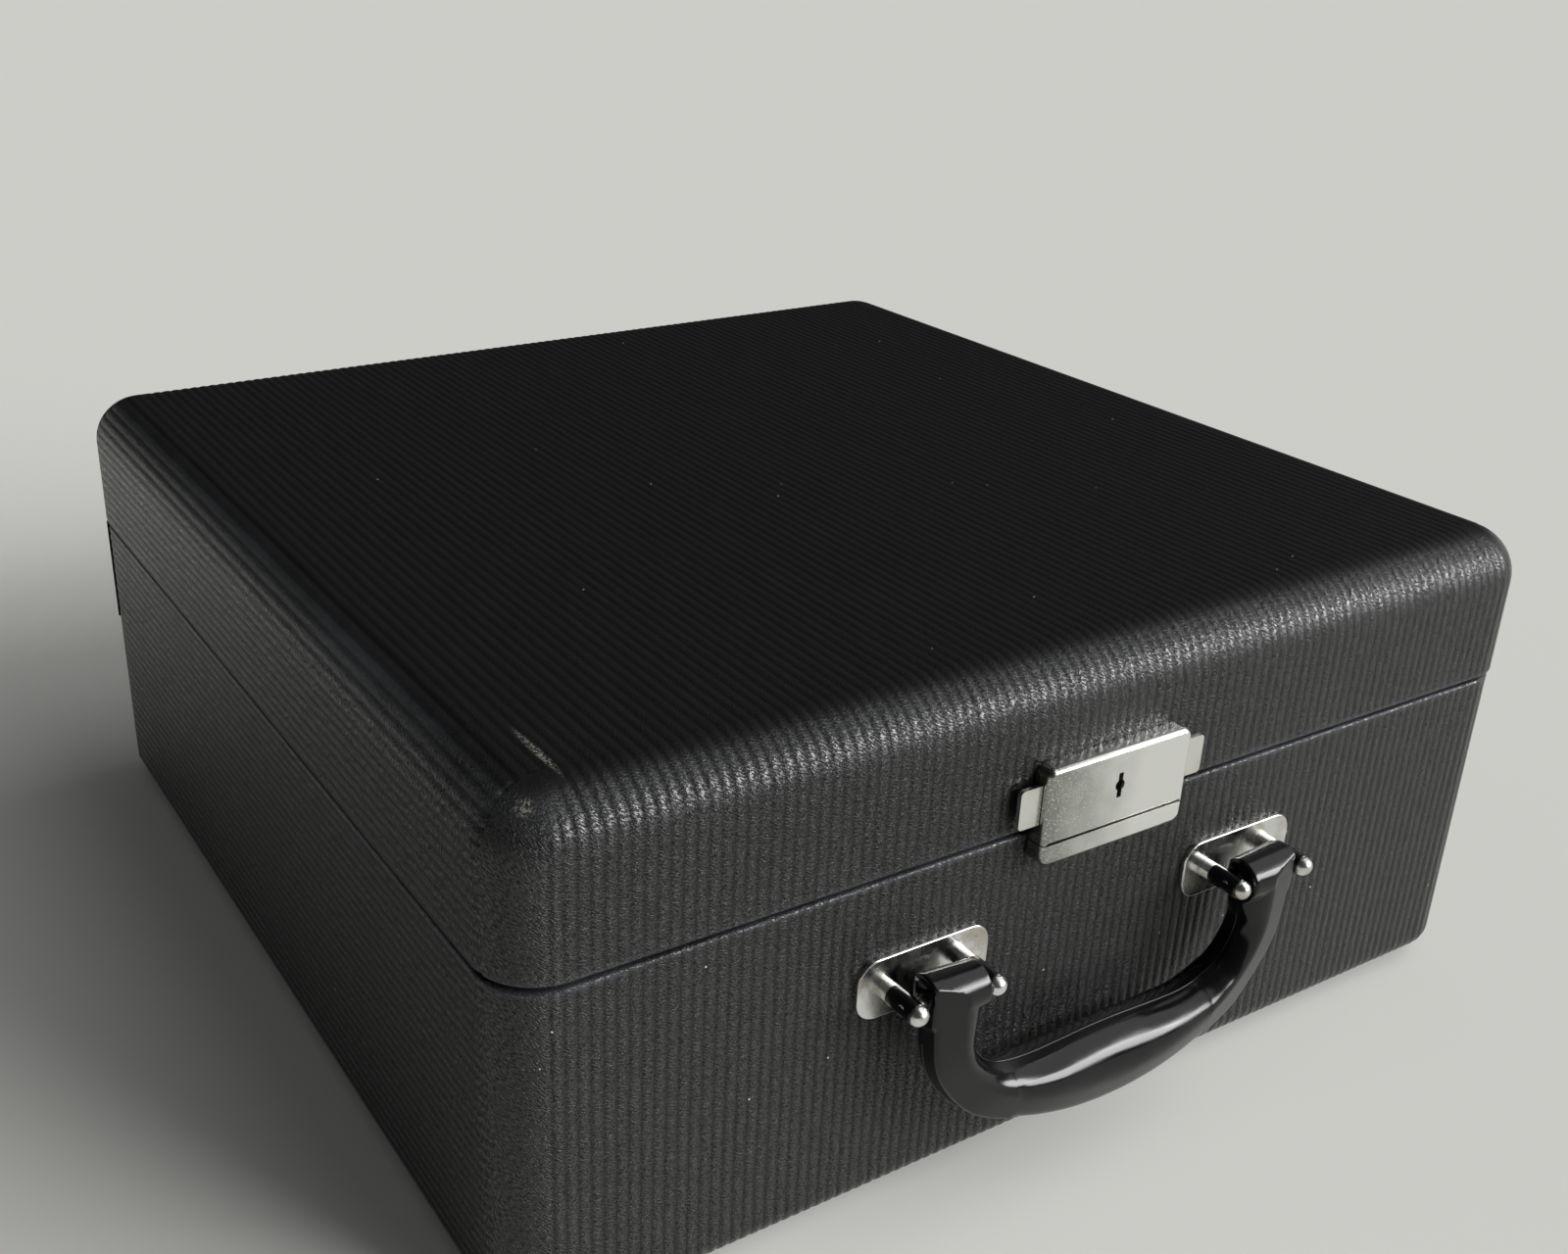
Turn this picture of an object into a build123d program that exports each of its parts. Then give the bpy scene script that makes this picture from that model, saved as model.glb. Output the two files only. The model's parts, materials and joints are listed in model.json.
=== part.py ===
from math import cos, pi
import os

from build123d import *

# Portable machine case: a covered wooden tray, a hinged lid, a lock and a carrying handle.
# Lengths are in millimetres. +Z is up and the front faces -Y.

# Overall sizes of the closed case
case_width = 330.0
case_depth = 326.0
base_height = 96.7
lid_height = 43.8
lid_overhang = 0.4
seam_gap = 0.4
corner_radius = 15.5
lid_top_radius = 15.0
base_bottom_radius = 7.5

# Boards, covering and lining
covering = 1.2
turned_edge = 0.8
wall_board = 6.4
bottom_board = 5.0
top_board = 6.4
lining = 0.8
band_thickness = 0.7
band_drop = 36.0
band_wrap = 10.0
lip_thickness = 3.0
lip_depth = 18.0
lip_rise = 5.0
lip_chamfer = 1.0
lining_clearance = 1.0

# Glides under the case and on its back
glide_height = 2.5
glide_radius = 7.0
glide_flat_radius = 3.0
glide_inset = 24.0
glide_nail_radius = 1.1
glide_nail_length = 5.0
back_glide_height = 7.0
back_glide_radius = 8.0
back_glide_flat_radius = 4.0
back_glide_inset = 40.0
base_back_glide_z = 22.0
lid_back_glide_drop = 21.0

# Hinges
hinge_width = 40.0
hinge_leaf_height = 18.0
hinge_leaf_thickness = 1.2
hinge_from_side = 70.0
hinge_knuckles = 5
knuckle_radius = 2.4
knuckle_gap = 0.3
hinge_pin_radius = 1.1
hinge_pin_fit = 0.05
hinge_pin_head = 0.8
knuckle_clearance = 0.3
hinge_rivet_pitch = 24.0
hinge_rivet_rise = 11.0

# Rivets
rivet_radius = 1.2
rivet_head_radius = 2.3
rivet_head_height = 0.9
hole_clearance = 0.1

# Handle plates and posts
plate_width = 40.0
plate_height = 16.9
plate_thickness = 1.2
plate_corner = 6.0
plate_spacing = 107.8
plate_below_seam = 30.2
post_spacing = 23.8
post_radius = 2.6
post_reach = 14.0
post_groove = 0.5
post_groove_depth = 0.5
post_head_radius = 2.7
post_head_height = 2.0
post_tail_radius = 1.7
post_tail_head_radius = 2.8
post_tail_head_height = 1.2
backing_thickness = 1.2
pivot_reach = 10.5
pivot_pin_radius = 1.5
pin_press = 0.02
pin_running = 0.08

# Moulded handle. Both lines of the bow give half a handle seen from the front:
# distance from the middle, and drop below the pivot. The grip starts and is full at these
# shares of the way from a leg's end to the middle.
knuckle_outer_radius = 7.0
knuckle_inner_radius = 6.0
knuckle_back_flat = 4.4
knuckle_length = 16.4
knuckle_side_gap = 0.4
knuckle_setback = 0.05
leg_depth = 12.4
grip_depth = 18.6
leg_face = 7.9
grip_face = 9.1
face_edge_inset = 0.9
face_edge_share = 0.7
grip_starts = 0.28
grip_full = 0.84
bow_sections = 20
bow_outer_line = (
    (61.2, 0.0), (61.0, 9.5), (59.5, 19.0), (55.2, 27.8),
    (46.9, 37.0), (33.0, 43.9), (16.0, 48.3), (0.0, 49.7),
)
bow_inner_line = (
    (45.2, 0.0), (45.4, 7.0), (46.3, 11.0), (45.6, 17.0),
    (41.5, 23.9), (33.0, 28.4), (20.0, 29.3), (0.0, 28.6),
)

# Lock on the lid
lock_width = 47.5
lock_depth = 5.1
lock_rise = 18.8
lock_drop = 3.0
lock_sheet = 0.7
lock_edge_radius = 1.5
lock_corner_radius = 2.4
lock_plate_thickness = 0.5
lock_plate_gap = 0.15
lock_part_gap = 0.3
keeper_height = 4.9
keeper_corner_radius = 3.2
keyhole_above_seam = 9.0
keyhole_length = 6.9
keyhole_slot = 1.5
keyhole_round_radius = 1.5
lock_rivet_inset_x = 5.0
lock_rivet_low = 9.0
lock_rivet_high = 15.6
keeper_rivet_x = 12.0

# Lock slides and the hook they catch
slide_height = 10.8
slide_above_seam = 3.5
slide_thickness = 1.2
slide_tab_length = 6.8
slide_tab_corner = 1.2
slide_inner_x = 11.7
slide_travel = 3.5
slide_slot_gap = 0.2
layer_gap = 0.2
nose_width = 2.0
nose_height = 2.8
nose_lift = 0.4
catch_gap = 0.3
hook_thickness = 0.9
prong_width = 4.0
prong_rise = 9.4
barb_height = 2.0
barb_length = 2.5
hook_slot_gap = 0.4
spring_wire = 0.5
spring_runs = 6
spring_swing = 2.2
spring_stop_half = 2.2
spring_stop_height = 2.8
cam_radius = 4.0
cam_thickness = 1.0
cam_hub_radius = 2.5
cam_hub_fit = 0.05
cam_lobe_reach = 6.8
cam_lobe_width = 3.2

# Hold-downs for the machine inside
pad_radius = 12.0
pad_height = 6.0
pad_from_wall_x = 34.0
pad_from_wall_y = 46.0
hold_hook_width = 22.0
hold_hook_sheet = 1.6
hold_hook_foot = 24.0
hold_hook_rise = 16.0
hold_hook_lip = 9.0
hold_hook_spread = 190.0
hold_hook_from_wall = 10.0
screw_radius = 1.7
screw_head_radius = 3.2
screw_head_height = 1.6
screw_length = 5.2
screw_pitch = 12.0
catch_foot_width = 34.0
catch_foot_depth = 22.0
catch_foot_sheet = 1.6
catch_post_radius = 4.5
catch_post_height = 32.0
catch_from_wall = 26.0
catch_screw_pitch = 24.0
lever_length = 44.0
lever_width = 12.0
lever_sheet = 2.0
lever_play = 0.3
lever_pin_radius = 2.0
lever_pin_fit = 0.1
lever_head_radius = 4.0
lever_head_height = 1.8

# Levels and planes that follow from the sizes above
seam_z = glide_height + base_height
case_top_z = seam_z + lid_height
base_rim_z = seam_z - seam_gap / 2
lid_rim_z = seam_z + seam_gap / 2
base_half_x = case_width / 2
base_half_y = case_depth / 2
lid_half_x = base_half_x + lid_overhang
lid_half_y = base_half_y + lid_overhang
inner_x = base_half_x - covering - wall_board
inner_y = base_half_y - covering - wall_board
lid_inner_x = lid_half_x - covering - wall_board
lid_inner_y = lid_half_y - covering - wall_board
board_floor_z = glide_height + covering + bottom_board
floor_z = board_floor_z + lining
board_ceiling_z = case_top_z - covering - top_board
ceiling_z = board_ceiling_z - lining
lip_low_z = base_rim_z - lip_depth
lip_top_z = seam_z + lip_rise
lid_lining_low_z = lip_top_z + lining_clearance
front_y = -base_half_y
lid_front_y = -lid_half_y
lock_front_y = lid_front_y - lock_depth
hinge_axis_y = base_half_y + band_thickness + knuckle_radius + knuckle_clearance
hinge_spacing = case_width - 2 * hinge_from_side
pivot_z = seam_z - plate_below_seam
pivot_y = front_y - pivot_reach
handle_front_y = pivot_y - grip_depth / 2

# The origin is under the middle of everything, so the shell stands a little behind it
shell_shift = -(handle_front_y + base_half_y + back_glide_height) / 2

far = case_width + case_depth


def block(x_low, x_high, y_low, y_high, z_low, z_high):
    """A box between two corners."""
    size = Box(x_high - x_low, y_high - y_low, z_high - z_low)
    return Pos((x_low + x_high) / 2, (y_low + y_high) / 2, (z_low + z_high) / 2) * size


def rod_x(x_low, x_high, y, z, radius):
    """A round bar along X."""
    return Pos((x_low + x_high) / 2, y, z) * Rot(0, 90, 0) * Cylinder(radius, x_high - x_low)


def rod_y(x, y_low, y_high, z, radius):
    """A round bar along Y."""
    return Pos(x, (y_low + y_high) / 2, z) * Rot(90, 0, 0) * Cylinder(radius, y_high - y_low)


def rod_z(x, y, z_low, z_high, radius):
    """A round bar along Z."""
    return Pos(x, y, (z_low + z_high) / 2) * Cylinder(radius, z_high - z_low)


def dome(radius, height):
    """A shallow round head on the XY plane, pointing up."""
    ball_radius = (radius ** 2 + height ** 2) / (2 * height)
    ball = Pos(0, 0, height - ball_radius) * Sphere(ball_radius)
    return ball & block(-radius, radius, -radius, radius, 0, height)


def pair(make):
    """The same piece on the left and on the right."""
    return [make(-1), make(1)]


def without(shape, holes):
    """A shape with every one of the holes taken out."""
    for hole in holes:
        shape = shape - hole
    return shape


def save(name, shape):
    """Write one piece, or one group of identical pieces."""
    pieces = shape if isinstance(shape, list) else [shape]
    placed = [Pos(0, shell_shift, 0) * solid for piece in pieces for solid in piece.solids()]
    whole = placed[0] if len(placed) == 1 else Compound(children=placed)
    export_step(whole, f"parts/{name}.step")


def case_form(half_x, half_y, low, high, corner, low_round, high_round):
    """The rounded outer form of the tray or of the lid."""
    form = Pos(0, 0, low) * extrude(RectangleRounded(2 * half_x, 2 * half_y, corner), high - low)
    if low_round > 0:
        form = fillet(form.faces().sort_by(Axis.Z)[0].edges(), low_round)
    if high_round > 0:
        form = fillet(form.faces().sort_by(Axis.Z)[-1].edges(), high_round)
    return form


# Fasteners, each with the hole that it needs

def rivet_through(x, z, y_front, y_inside, direction=1):
    """A rivet along Y, flush at one end and with its head inside."""
    shank = rod_y(x, min(y_front, y_inside), max(y_front, y_inside), z, rivet_radius)
    head = Pos(x, y_inside, z) * Rot(-90 * direction, 0, 0) * dome(rivet_head_radius, rivet_head_height)
    return shank + head


def rivet_hole(x, z, y_one, y_two):
    """The hole for such a rivet."""
    return rod_y(x, min(y_one, y_two), max(y_one, y_two), z, rivet_radius + hole_clearance)


def lock_rivet_places():
    x = lock_width / 2 - lock_rivet_inset_x
    return [(side * x, seam_z + rise) for side in (-1, 1) for rise in (lock_rivet_low, lock_rivet_high)]


def keeper_rivet_places():
    z = seam_z - lock_drop - lock_part_gap - keeper_height / 2
    return [(side * keeper_rivet_x, z) for side in (-1, 1)]


def hinge_rivet_places(side_z):
    """Centres of the rivets in one row of leaves, below the seam for -1 and above it for 1."""
    z = seam_z + side_z * hinge_rivet_rise
    return [
        (side * hinge_spacing / 2 + step * hinge_rivet_pitch / 2, z)
        for side in (-1, 1)
        for step in (-1, 1)
    ]


def post_places():
    return [
        (side * plate_spacing / 2 + step * post_spacing / 2, pivot_z)
        for side in (-1, 1)
        for step in (-1, 1)
    ]


def bottom_glide_places():
    x = base_half_x - glide_inset
    y = base_half_y - glide_inset
    return [(side * x, end * y) for side in (-1, 1) for end in (-1, 1)]


def back_glide_places(z):
    x = base_half_x - back_glide_inset
    return [(side * x, z) for side in (-1, 1)]


def base_front_holes():
    """Holes through the front wall of the tray for the posts and the keeper."""
    inside = front_y + covering + wall_board + lip_thickness + lining
    posts = [
        rod_y(x, front_y, inside, z, post_tail_radius + hole_clearance)
        for x, z in post_places()
    ]
    keeper = [rivet_hole(x, z, front_y, inside) for x, z in keeper_rivet_places()]
    return posts + keeper


def base_back_holes():
    """Holes through the back wall of the tray for the hinge rivets and the glide nails."""
    inside = inner_y - lip_thickness - lining
    hinge = [rivet_hole(x, z, inside, base_half_y + band_thickness) for x, z in hinge_rivet_places(-1)]
    glides = [
        rod_y(x, base_half_y - glide_nail_length, base_half_y, z, glide_nail_radius + hole_clearance)
        for x, z in back_glide_places(glide_height + base_back_glide_z)
    ]
    return hinge + glides


def base_bottom_holes():
    """Holes in the floor for the glide nails and the screws inside."""
    nails = [
        rod_z(x, y, glide_height, glide_height + glide_nail_length, glide_nail_radius + hole_clearance)
        for x, y in bottom_glide_places()
    ]
    screws = [
        rod_z(x, y, floor_z + sheet - screw_length, floor_z + sheet, screw_radius + hole_clearance)
        for x, y, sheet in screw_places()
    ]
    return nails + screws


def lid_front_holes():
    inside = lid_front_y + covering + wall_board + lining
    return [rivet_hole(x, z, lid_front_y, inside) for x, z in lock_rivet_places()]


def lid_back_holes():
    inside = lid_inner_y - lining
    hinge = [rivet_hole(x, z, inside, lid_half_y) for x, z in hinge_rivet_places(1)]
    glides = [
        rod_y(x, lid_half_y - glide_nail_length, lid_half_y, z, glide_nail_radius + hole_clearance)
        for x, z in back_glide_places(case_top_z - lid_back_glide_drop)
    ]
    return hinge + glides


# Tray: boards, covering, band, lining and lip

def base_outside(grow=0.0):
    """Outer form of the covered tray, or that form grown by a thickness."""
    return case_form(
        base_half_x + grow, base_half_y + grow, glide_height - grow, base_rim_z,
        corner_radius + grow, base_bottom_radius + grow, 0,
    )


def base_wood():
    """Outer form of the tray's boards, inside the covering and under its turned edge."""
    return case_form(
        base_half_x - covering, base_half_y - covering, glide_height + covering,
        base_rim_z - turned_edge, corner_radius - covering, base_bottom_radius - covering, 0,
    )


def base_board(name):
    """One board of the tray: front, back, left, right or bottom."""
    above_floor = board_floor_z
    zones = {
        "front": block(-far, far, -far, -inner_y, above_floor, far),
        "back": block(-far, far, inner_y, far, above_floor, far),
        "left": block(-far, -inner_x, -inner_y, inner_y, above_floor, far),
        "right": block(inner_x, far, -inner_y, inner_y, above_floor, far),
        "bottom": block(-far, far, -far, far, -far, above_floor),
    }
    holes = {"front": base_front_holes(), "back": base_back_holes(), "bottom": base_bottom_holes()}
    return without(base_wood() & zones[name], holes.get(name, []))


def base_covering():
    """Leatherette over the outside of the tray, turned over its rim."""
    mouth = block(-inner_x, inner_x, -inner_y, inner_y, board_floor_z, far)
    skin = base_outside() - base_wood() - mouth
    holes = base_front_holes() + base_back_holes() + base_bottom_holes()
    return without(skin, holes)


def base_back_band():
    """Band of leatherette that strengthens the back wall under the seam."""
    zone = block(-far, far, base_half_y - band_wrap, far, seam_z - band_drop, base_rim_z)
    band = (base_outside(band_thickness) - base_outside()) & zone
    return without(band, base_back_holes())


def base_lining():
    """Thin lining on the floor and the walls, up to the lip."""
    outer = block(-inner_x, inner_x, -inner_y, inner_y, board_floor_z, lip_low_z)
    hollow_x = inner_x - lining
    hollow_y = inner_y - lining
    hollow = block(-hollow_x, hollow_x, -hollow_y, hollow_y, floor_z, far)
    return without(outer - hollow, base_front_holes() + base_back_holes() + base_bottom_holes())


def rim_lip_long(end):
    """Front (-1) or back (1) strip of the lip that centres the lid."""
    y_one = end * inner_y
    y_two = end * (inner_y - lip_thickness)
    strip = block(-inner_x, inner_x, min(y_one, y_two), max(y_one, y_two), lip_low_z, lip_top_z)
    edge = strip.edges().filter_by(Axis.X).group_by(Axis.Z)[-1].sort_by(Axis.Y)[0 if end < 0 else -1]
    return without(chamfer(edge, lip_chamfer), base_front_holes() + base_back_holes())


def rim_lip_short(side):
    """Left (-1) or right (1) strip of the lip, between the long ones."""
    x_one = side * inner_x
    x_two = side * (inner_x - lip_thickness)
    half_y = inner_y - lip_thickness
    strip = block(min(x_one, x_two), max(x_one, x_two), -half_y, half_y, lip_low_z, lip_top_z)
    edge = strip.edges().filter_by(Axis.Y).group_by(Axis.Z)[-1].sort_by(Axis.X)[0 if side < 0 else -1]
    return chamfer(edge, lip_chamfer)


# Lid: boards, covering and lining

def lid_outside():
    """Outer form of the covered lid."""
    return case_form(lid_half_x, lid_half_y, lid_rim_z, case_top_z, corner_radius, 0, lid_top_radius)


def lid_wood():
    """Outer form of the lid's boards."""
    return case_form(
        lid_half_x - covering, lid_half_y - covering, lid_rim_z + turned_edge,
        case_top_z - covering, corner_radius - covering, 0, lid_top_radius - covering,
    )


def lid_board(name):
    """One board of the lid: front, back, left, right or top."""
    below_ceiling = board_ceiling_z
    zones = {
        "front": block(-far, far, -far, -lid_inner_y, -far, below_ceiling),
        "back": block(-far, far, lid_inner_y, far, -far, below_ceiling),
        "left": block(-far, -lid_inner_x, -lid_inner_y, lid_inner_y, -far, below_ceiling),
        "right": block(lid_inner_x, far, -lid_inner_y, lid_inner_y, -far, below_ceiling),
        "top": block(-far, far, -far, far, below_ceiling, far),
    }
    holes = {"front": lid_front_holes(), "back": lid_back_holes()}
    return without(lid_wood() & zones[name], holes.get(name, []))


def lid_covering():
    """Leatherette over the outside of the lid, turned under its rim."""
    mouth = block(-lid_inner_x, lid_inner_x, -lid_inner_y, lid_inner_y, -far, board_ceiling_z)
    return without(lid_outside() - lid_wood() - mouth, lid_front_holes() + lid_back_holes())


def lid_lining():
    """Thin lining on the ceiling and the walls, clear of the lip."""
    outer = block(
        -lid_inner_x, lid_inner_x, -lid_inner_y, lid_inner_y, lid_lining_low_z, board_ceiling_z
    )
    hollow_x = lid_inner_x - lining
    hollow_y = lid_inner_y - lining
    hollow = block(-hollow_x, hollow_x, -hollow_y, hollow_y, -far, ceiling_z)
    return without(outer - hollow, lid_front_holes() + lid_back_holes())


# Glides

def glide(height, radius, flat_radius):
    """A domed metal glide with a flat foot and a nail, foot down, on the XY plane."""
    profile = Polyline((0, 0), (flat_radius, 0))
    bulge = ThreePointArc((flat_radius, 0), (radius * 0.86, height * 0.42), (radius, height))
    nail_top = height + glide_nail_length
    rest = Polyline(
        (radius, height), (glide_nail_radius, height), (glide_nail_radius, nail_top),
        (0, nail_top), (0, 0),
    )
    return revolve(Plane.XZ * make_face(profile + bulge + rest), Axis.Z)


def bottom_glides():
    return [Pos(x, y, 0) * glide(glide_height, glide_radius, glide_flat_radius) for x, y in bottom_glide_places()]


def back_glides(face_y, z):
    """Glides that the case stands on when its back is down."""
    height = base_half_y + back_glide_height - face_y
    shape = glide(height, back_glide_radius, back_glide_flat_radius)
    return [Pos(x, face_y + height, place_z) * Rot(90, 0, 0) * shape for x, place_z in back_glide_places(z)]


# Hinges

def knuckle_span(index):
    """Low and high end along X of one knuckle, counted from the hinge's left end."""
    pitch = hinge_width / hinge_knuckles
    low = -hinge_width / 2 + index * pitch
    return low + knuckle_gap / 2, low + pitch - knuckle_gap / 2


def hinge_leaf(side, side_z):
    """One leaf with its knuckles: side is left or right, side_z is -1 on the tray and 1 on the lid."""
    middle = side * hinge_spacing / 2
    face_y = base_half_y + band_thickness if side_z < 0 else lid_half_y
    near_z = seam_z + side_z * (knuckle_radius + knuckle_clearance)
    far_z = seam_z + side_z * hinge_leaf_height
    half = hinge_width / 2
    leaf = block(
        middle - half, middle + half, face_y, face_y + hinge_leaf_thickness,
        min(near_z, far_z), max(near_z, far_z),
    )
    first = 0 if side_z < 0 else 1
    for index in range(first, hinge_knuckles, 2):
        low, high = knuckle_span(index)
        leaf += rod_x(middle + low, middle + high, hinge_axis_y, seam_z, knuckle_radius)
        web_end = seam_z + side_z * (knuckle_radius + 2 * knuckle_clearance)
        leaf += block(
            middle + low, middle + high, hinge_axis_y - knuckle_radius, face_y + hinge_leaf_thickness,
            min(seam_z, web_end), max(seam_z, web_end),
        )
    bore = rod_x(middle - half, middle + half, hinge_axis_y, seam_z, hinge_pin_radius + hinge_pin_fit)
    holes = [
        rivet_hole(x, z, face_y, face_y + hinge_leaf_thickness)
        for x, z in hinge_rivet_places(side_z)
        if x * side > 0
    ]
    return without(leaf, [bore] + holes)


def hinge_pin(side):
    """The pin, with a small head past each end knuckle."""
    middle = side * hinge_spacing / 2
    half = hinge_width / 2
    pin = rod_x(middle - half, middle + half, hinge_axis_y, seam_z, hinge_pin_radius)
    for end in (-1, 1):
        head = Pos(middle + end * half, hinge_axis_y, seam_z) * Rot(0, 90 * end, 0)
        pin += head * dome(hinge_pin_radius * 1.6, hinge_pin_head)
    return pin


def hinge_rivets(side_z):
    """Rivets of both leaves on the tray (-1) or on the lid (1), heads outside."""
    face_y = (base_half_y + band_thickness if side_z < 0 else lid_half_y) + hinge_leaf_thickness
    inside = (inner_y if side_z < 0 else lid_inner_y) - (lip_thickness if side_z < 0 else lining)
    return [rivet_through(x, z, inside, face_y, 1) for x, z in hinge_rivet_places(side_z)]


# Handle plates, posts and pins

def handle_plate(side):
    """Rounded plate on the front covering, with holes for the two post tails."""
    face = RectangleRounded(plate_width, plate_height, plate_corner)
    plate = extrude(Plane.XZ.offset(-front_y) * Pos(side * plate_spacing / 2, pivot_z) * face, plate_thickness)
    outer_edges = plate.faces().sort_by(Axis.Y)[0].edges()
    plate = fillet(outer_edges, plate_thickness / 3)
    holes = [
        rod_y(x, front_y - plate_thickness, front_y, z, post_tail_radius + hole_clearance)
        for x, z in post_places()
        if x * side > 0
    ]
    return without(plate, holes)


def backing_plate(side):
    """Plain plate inside the front wall, under the peened tails of the posts."""
    low = front_y + covering + wall_board + lining
    half = plate_width / 2
    middle = side * plate_spacing / 2
    plate = block(
        middle - half, middle + half, low, low + backing_thickness,
        pivot_z - plate_height / 2, pivot_z + plate_height / 2,
    )
    holes = [
        rod_y(x, low, low + backing_thickness, z, post_tail_radius + hole_clearance)
        for x, z in post_places()
        if x * side > 0
    ]
    return without(plate, holes)


def handle_post(x, z):
    """Turned post with a domed head, a groove behind it, a cross hole and a peened tail."""
    base_y = front_y - plate_thickness
    end_y = front_y - post_reach
    inside = front_y + covering + wall_board + lining + backing_thickness
    post = rod_y(x, end_y, base_y, z, post_radius)
    neck = rod_y(x, end_y - post_groove, end_y, z, post_radius - post_groove_depth)
    head = Pos(x, end_y - post_groove, z) * Rot(90, 0, 0) * dome(post_head_radius, post_head_height)
    tail = rod_y(x, base_y, inside, z, post_tail_radius)
    peen = Pos(x, inside, z) * Rot(-90, 0, 0) * dome(post_tail_head_radius, post_tail_head_height)
    cross = rod_x(x - post_radius, x + post_radius, pivot_y, pivot_z, pivot_pin_radius + pin_press)
    return post + neck + head + tail + peen - cross


def pivot_pin(side):
    """Pin through both posts of one plate and through the handle's knuckle between them."""
    half = post_spacing / 2 + post_radius
    middle = side * plate_spacing / 2
    return rod_x(middle - half, middle + half, pivot_y, pivot_z, pivot_pin_radius)


# Moulded handle

def knuckle_ends():
    """Distances from the middle of a knuckle's inner and outer end. The inner end is beside a post."""
    inner = plate_spacing / 2 - post_spacing / 2 + post_radius + knuckle_side_gap
    return inner, inner + knuckle_length


def bow_line(half_line):
    """A smooth line across the whole handle, seen from the front, from half of its outline."""
    left = [(-x, pivot_z - drop) for x, drop in half_line]
    right = [(-x, z) for x, z in reversed(left[:-1])]
    return Spline(*left, *right, tangents=[(0, -1), (0, 1)])


def grip_share(along):
    """0 on the legs and 1 on the grip, with a smooth step over the shoulders."""
    from_end = 1 - abs(2 * along - 1)
    share = min(max((from_end - grip_starts) / (grip_full - grip_starts), 0), 1)
    return share * share * (3 - 2 * share)


def bow_section(width, depth, face):
    """Section across the bow: outer side on the left, flat face in front and the rest rounded."""
    half = depth / 2
    outer = -width / 2
    face_outer = outer + face_edge_inset
    crest = face_outer + face
    edge = Line((outer, 0), (face_outer, half * face_edge_share))
    flat = Line((face_outer, half * face_edge_share), (crest, half))
    inner = EllipticalCenterArc((crest, 0), width / 2 - crest, half, -90, arc_size=180)
    back = EllipticalCenterArc((crest, 0), crest - outer, half, 180, arc_size=90)
    return make_face(Wire([edge, flat, inner, back]))


def bow_sections_placed():
    """The sections from the left knuckle round to the right one, closer together at both ends."""
    outer_line = bow_line(bow_outer_line)
    inner_line = bow_line(bow_inner_line)
    placed = []
    for index in range(bow_sections + 1):
        along = (1 - cos(pi * index / bow_sections)) / 2
        outer = outer_line @ along
        inner = inner_line @ along
        width = (inner - outer).length
        across = ((inner.X - outer.X) / width, 0, (inner.Y - outer.Y) / width)
        middle = ((inner.X + outer.X) / 2, pivot_y, (inner.Y + outer.Y) / 2)
        share = grip_share(along)
        depth = leg_depth + (grip_depth - leg_depth) * share
        face = leg_face + (grip_face - leg_face) * share
        plane = Plane(origin=middle, x_dir=across, z_dir=(across[2], 0, -across[0]))
        placed.append(plane * bow_section(width, depth, face))
    return placed


def knuckle(side):
    """Tapered round end of one leg, flat at the back and cut in front by the plane of the leg's face."""
    inner_end, outer_end = knuckle_ends()
    middle = side * (inner_end + outer_end) / 2
    cone = Cone(knuckle_outer_radius, knuckle_inner_radius, knuckle_length)
    whole = Pos(middle, pivot_y, pivot_z) * Rot(0, -90 * side, 0) * cone
    reach = 2 * knuckle_outer_radius
    low_z = pivot_z - reach
    high_z = pivot_z + reach
    whole -= block(-far, far, pivot_y + knuckle_back_flat, pivot_y + reach, low_z, high_z)
    face_x = bow_outer_line[0][0] - face_edge_inset
    rise = leg_depth / 2 * (1 - face_edge_share)
    crest_x = face_x - leg_face
    crest_y = pivot_y - leg_depth / 2 + knuckle_setback
    outer_x = face_x + leg_face
    outer_y = crest_y + rise * (outer_x - crest_x) / leg_face
    wedge = Polyline(
        (side * crest_x, crest_y), (side * outer_x, outer_y),
        (side * outer_x, crest_y - reach), (side * crest_x, crest_y - reach), close=True,
    )
    return whole - Pos(0, 0, low_z) * extrude(make_face(wedge), high_z - low_z, dir=(0, 0, 1))


def handle():
    """Moulded handle: a bow of changing section with a knuckle on each leg."""
    bow = loft(bow_sections_placed())
    for side in (-1, 1):
        bow += knuckle(side)
    inner_end, outer_end = knuckle_ends()
    bore_radius = pivot_pin_radius + pin_running
    for low, high in ((-outer_end, -inner_end), (inner_end, outer_end)):
        bow -= rod_x(low, high, pivot_y, pivot_z, bore_radius)
    return bow


# Lock

def lock_layers():
    """Planes inside the lock, counted outward from the lid's front face."""
    plate = lid_front_y - lock_plate_thickness
    hook_back = plate - layer_gap
    hook_front = hook_back - hook_thickness
    slide_back = hook_front - layer_gap
    slide_front = slide_back - slide_thickness
    cam_back = slide_front - slide_slot_gap
    cam_front = cam_back - cam_thickness
    return plate, hook_back, hook_front, slide_back, slide_front, cam_back, cam_front


def keyhole(y_low, y_high):
    """Round hole with a slot up and down, as a cutting solid."""
    z = seam_z + keyhole_above_seam
    half_slot = keyhole_slot / 2
    half_length = keyhole_length / 2
    slot = block(-half_slot, half_slot, y_low, y_high, z - half_length, z + half_length)
    return slot + rod_y(0, y_low, y_high, z, keyhole_round_radius)


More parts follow.
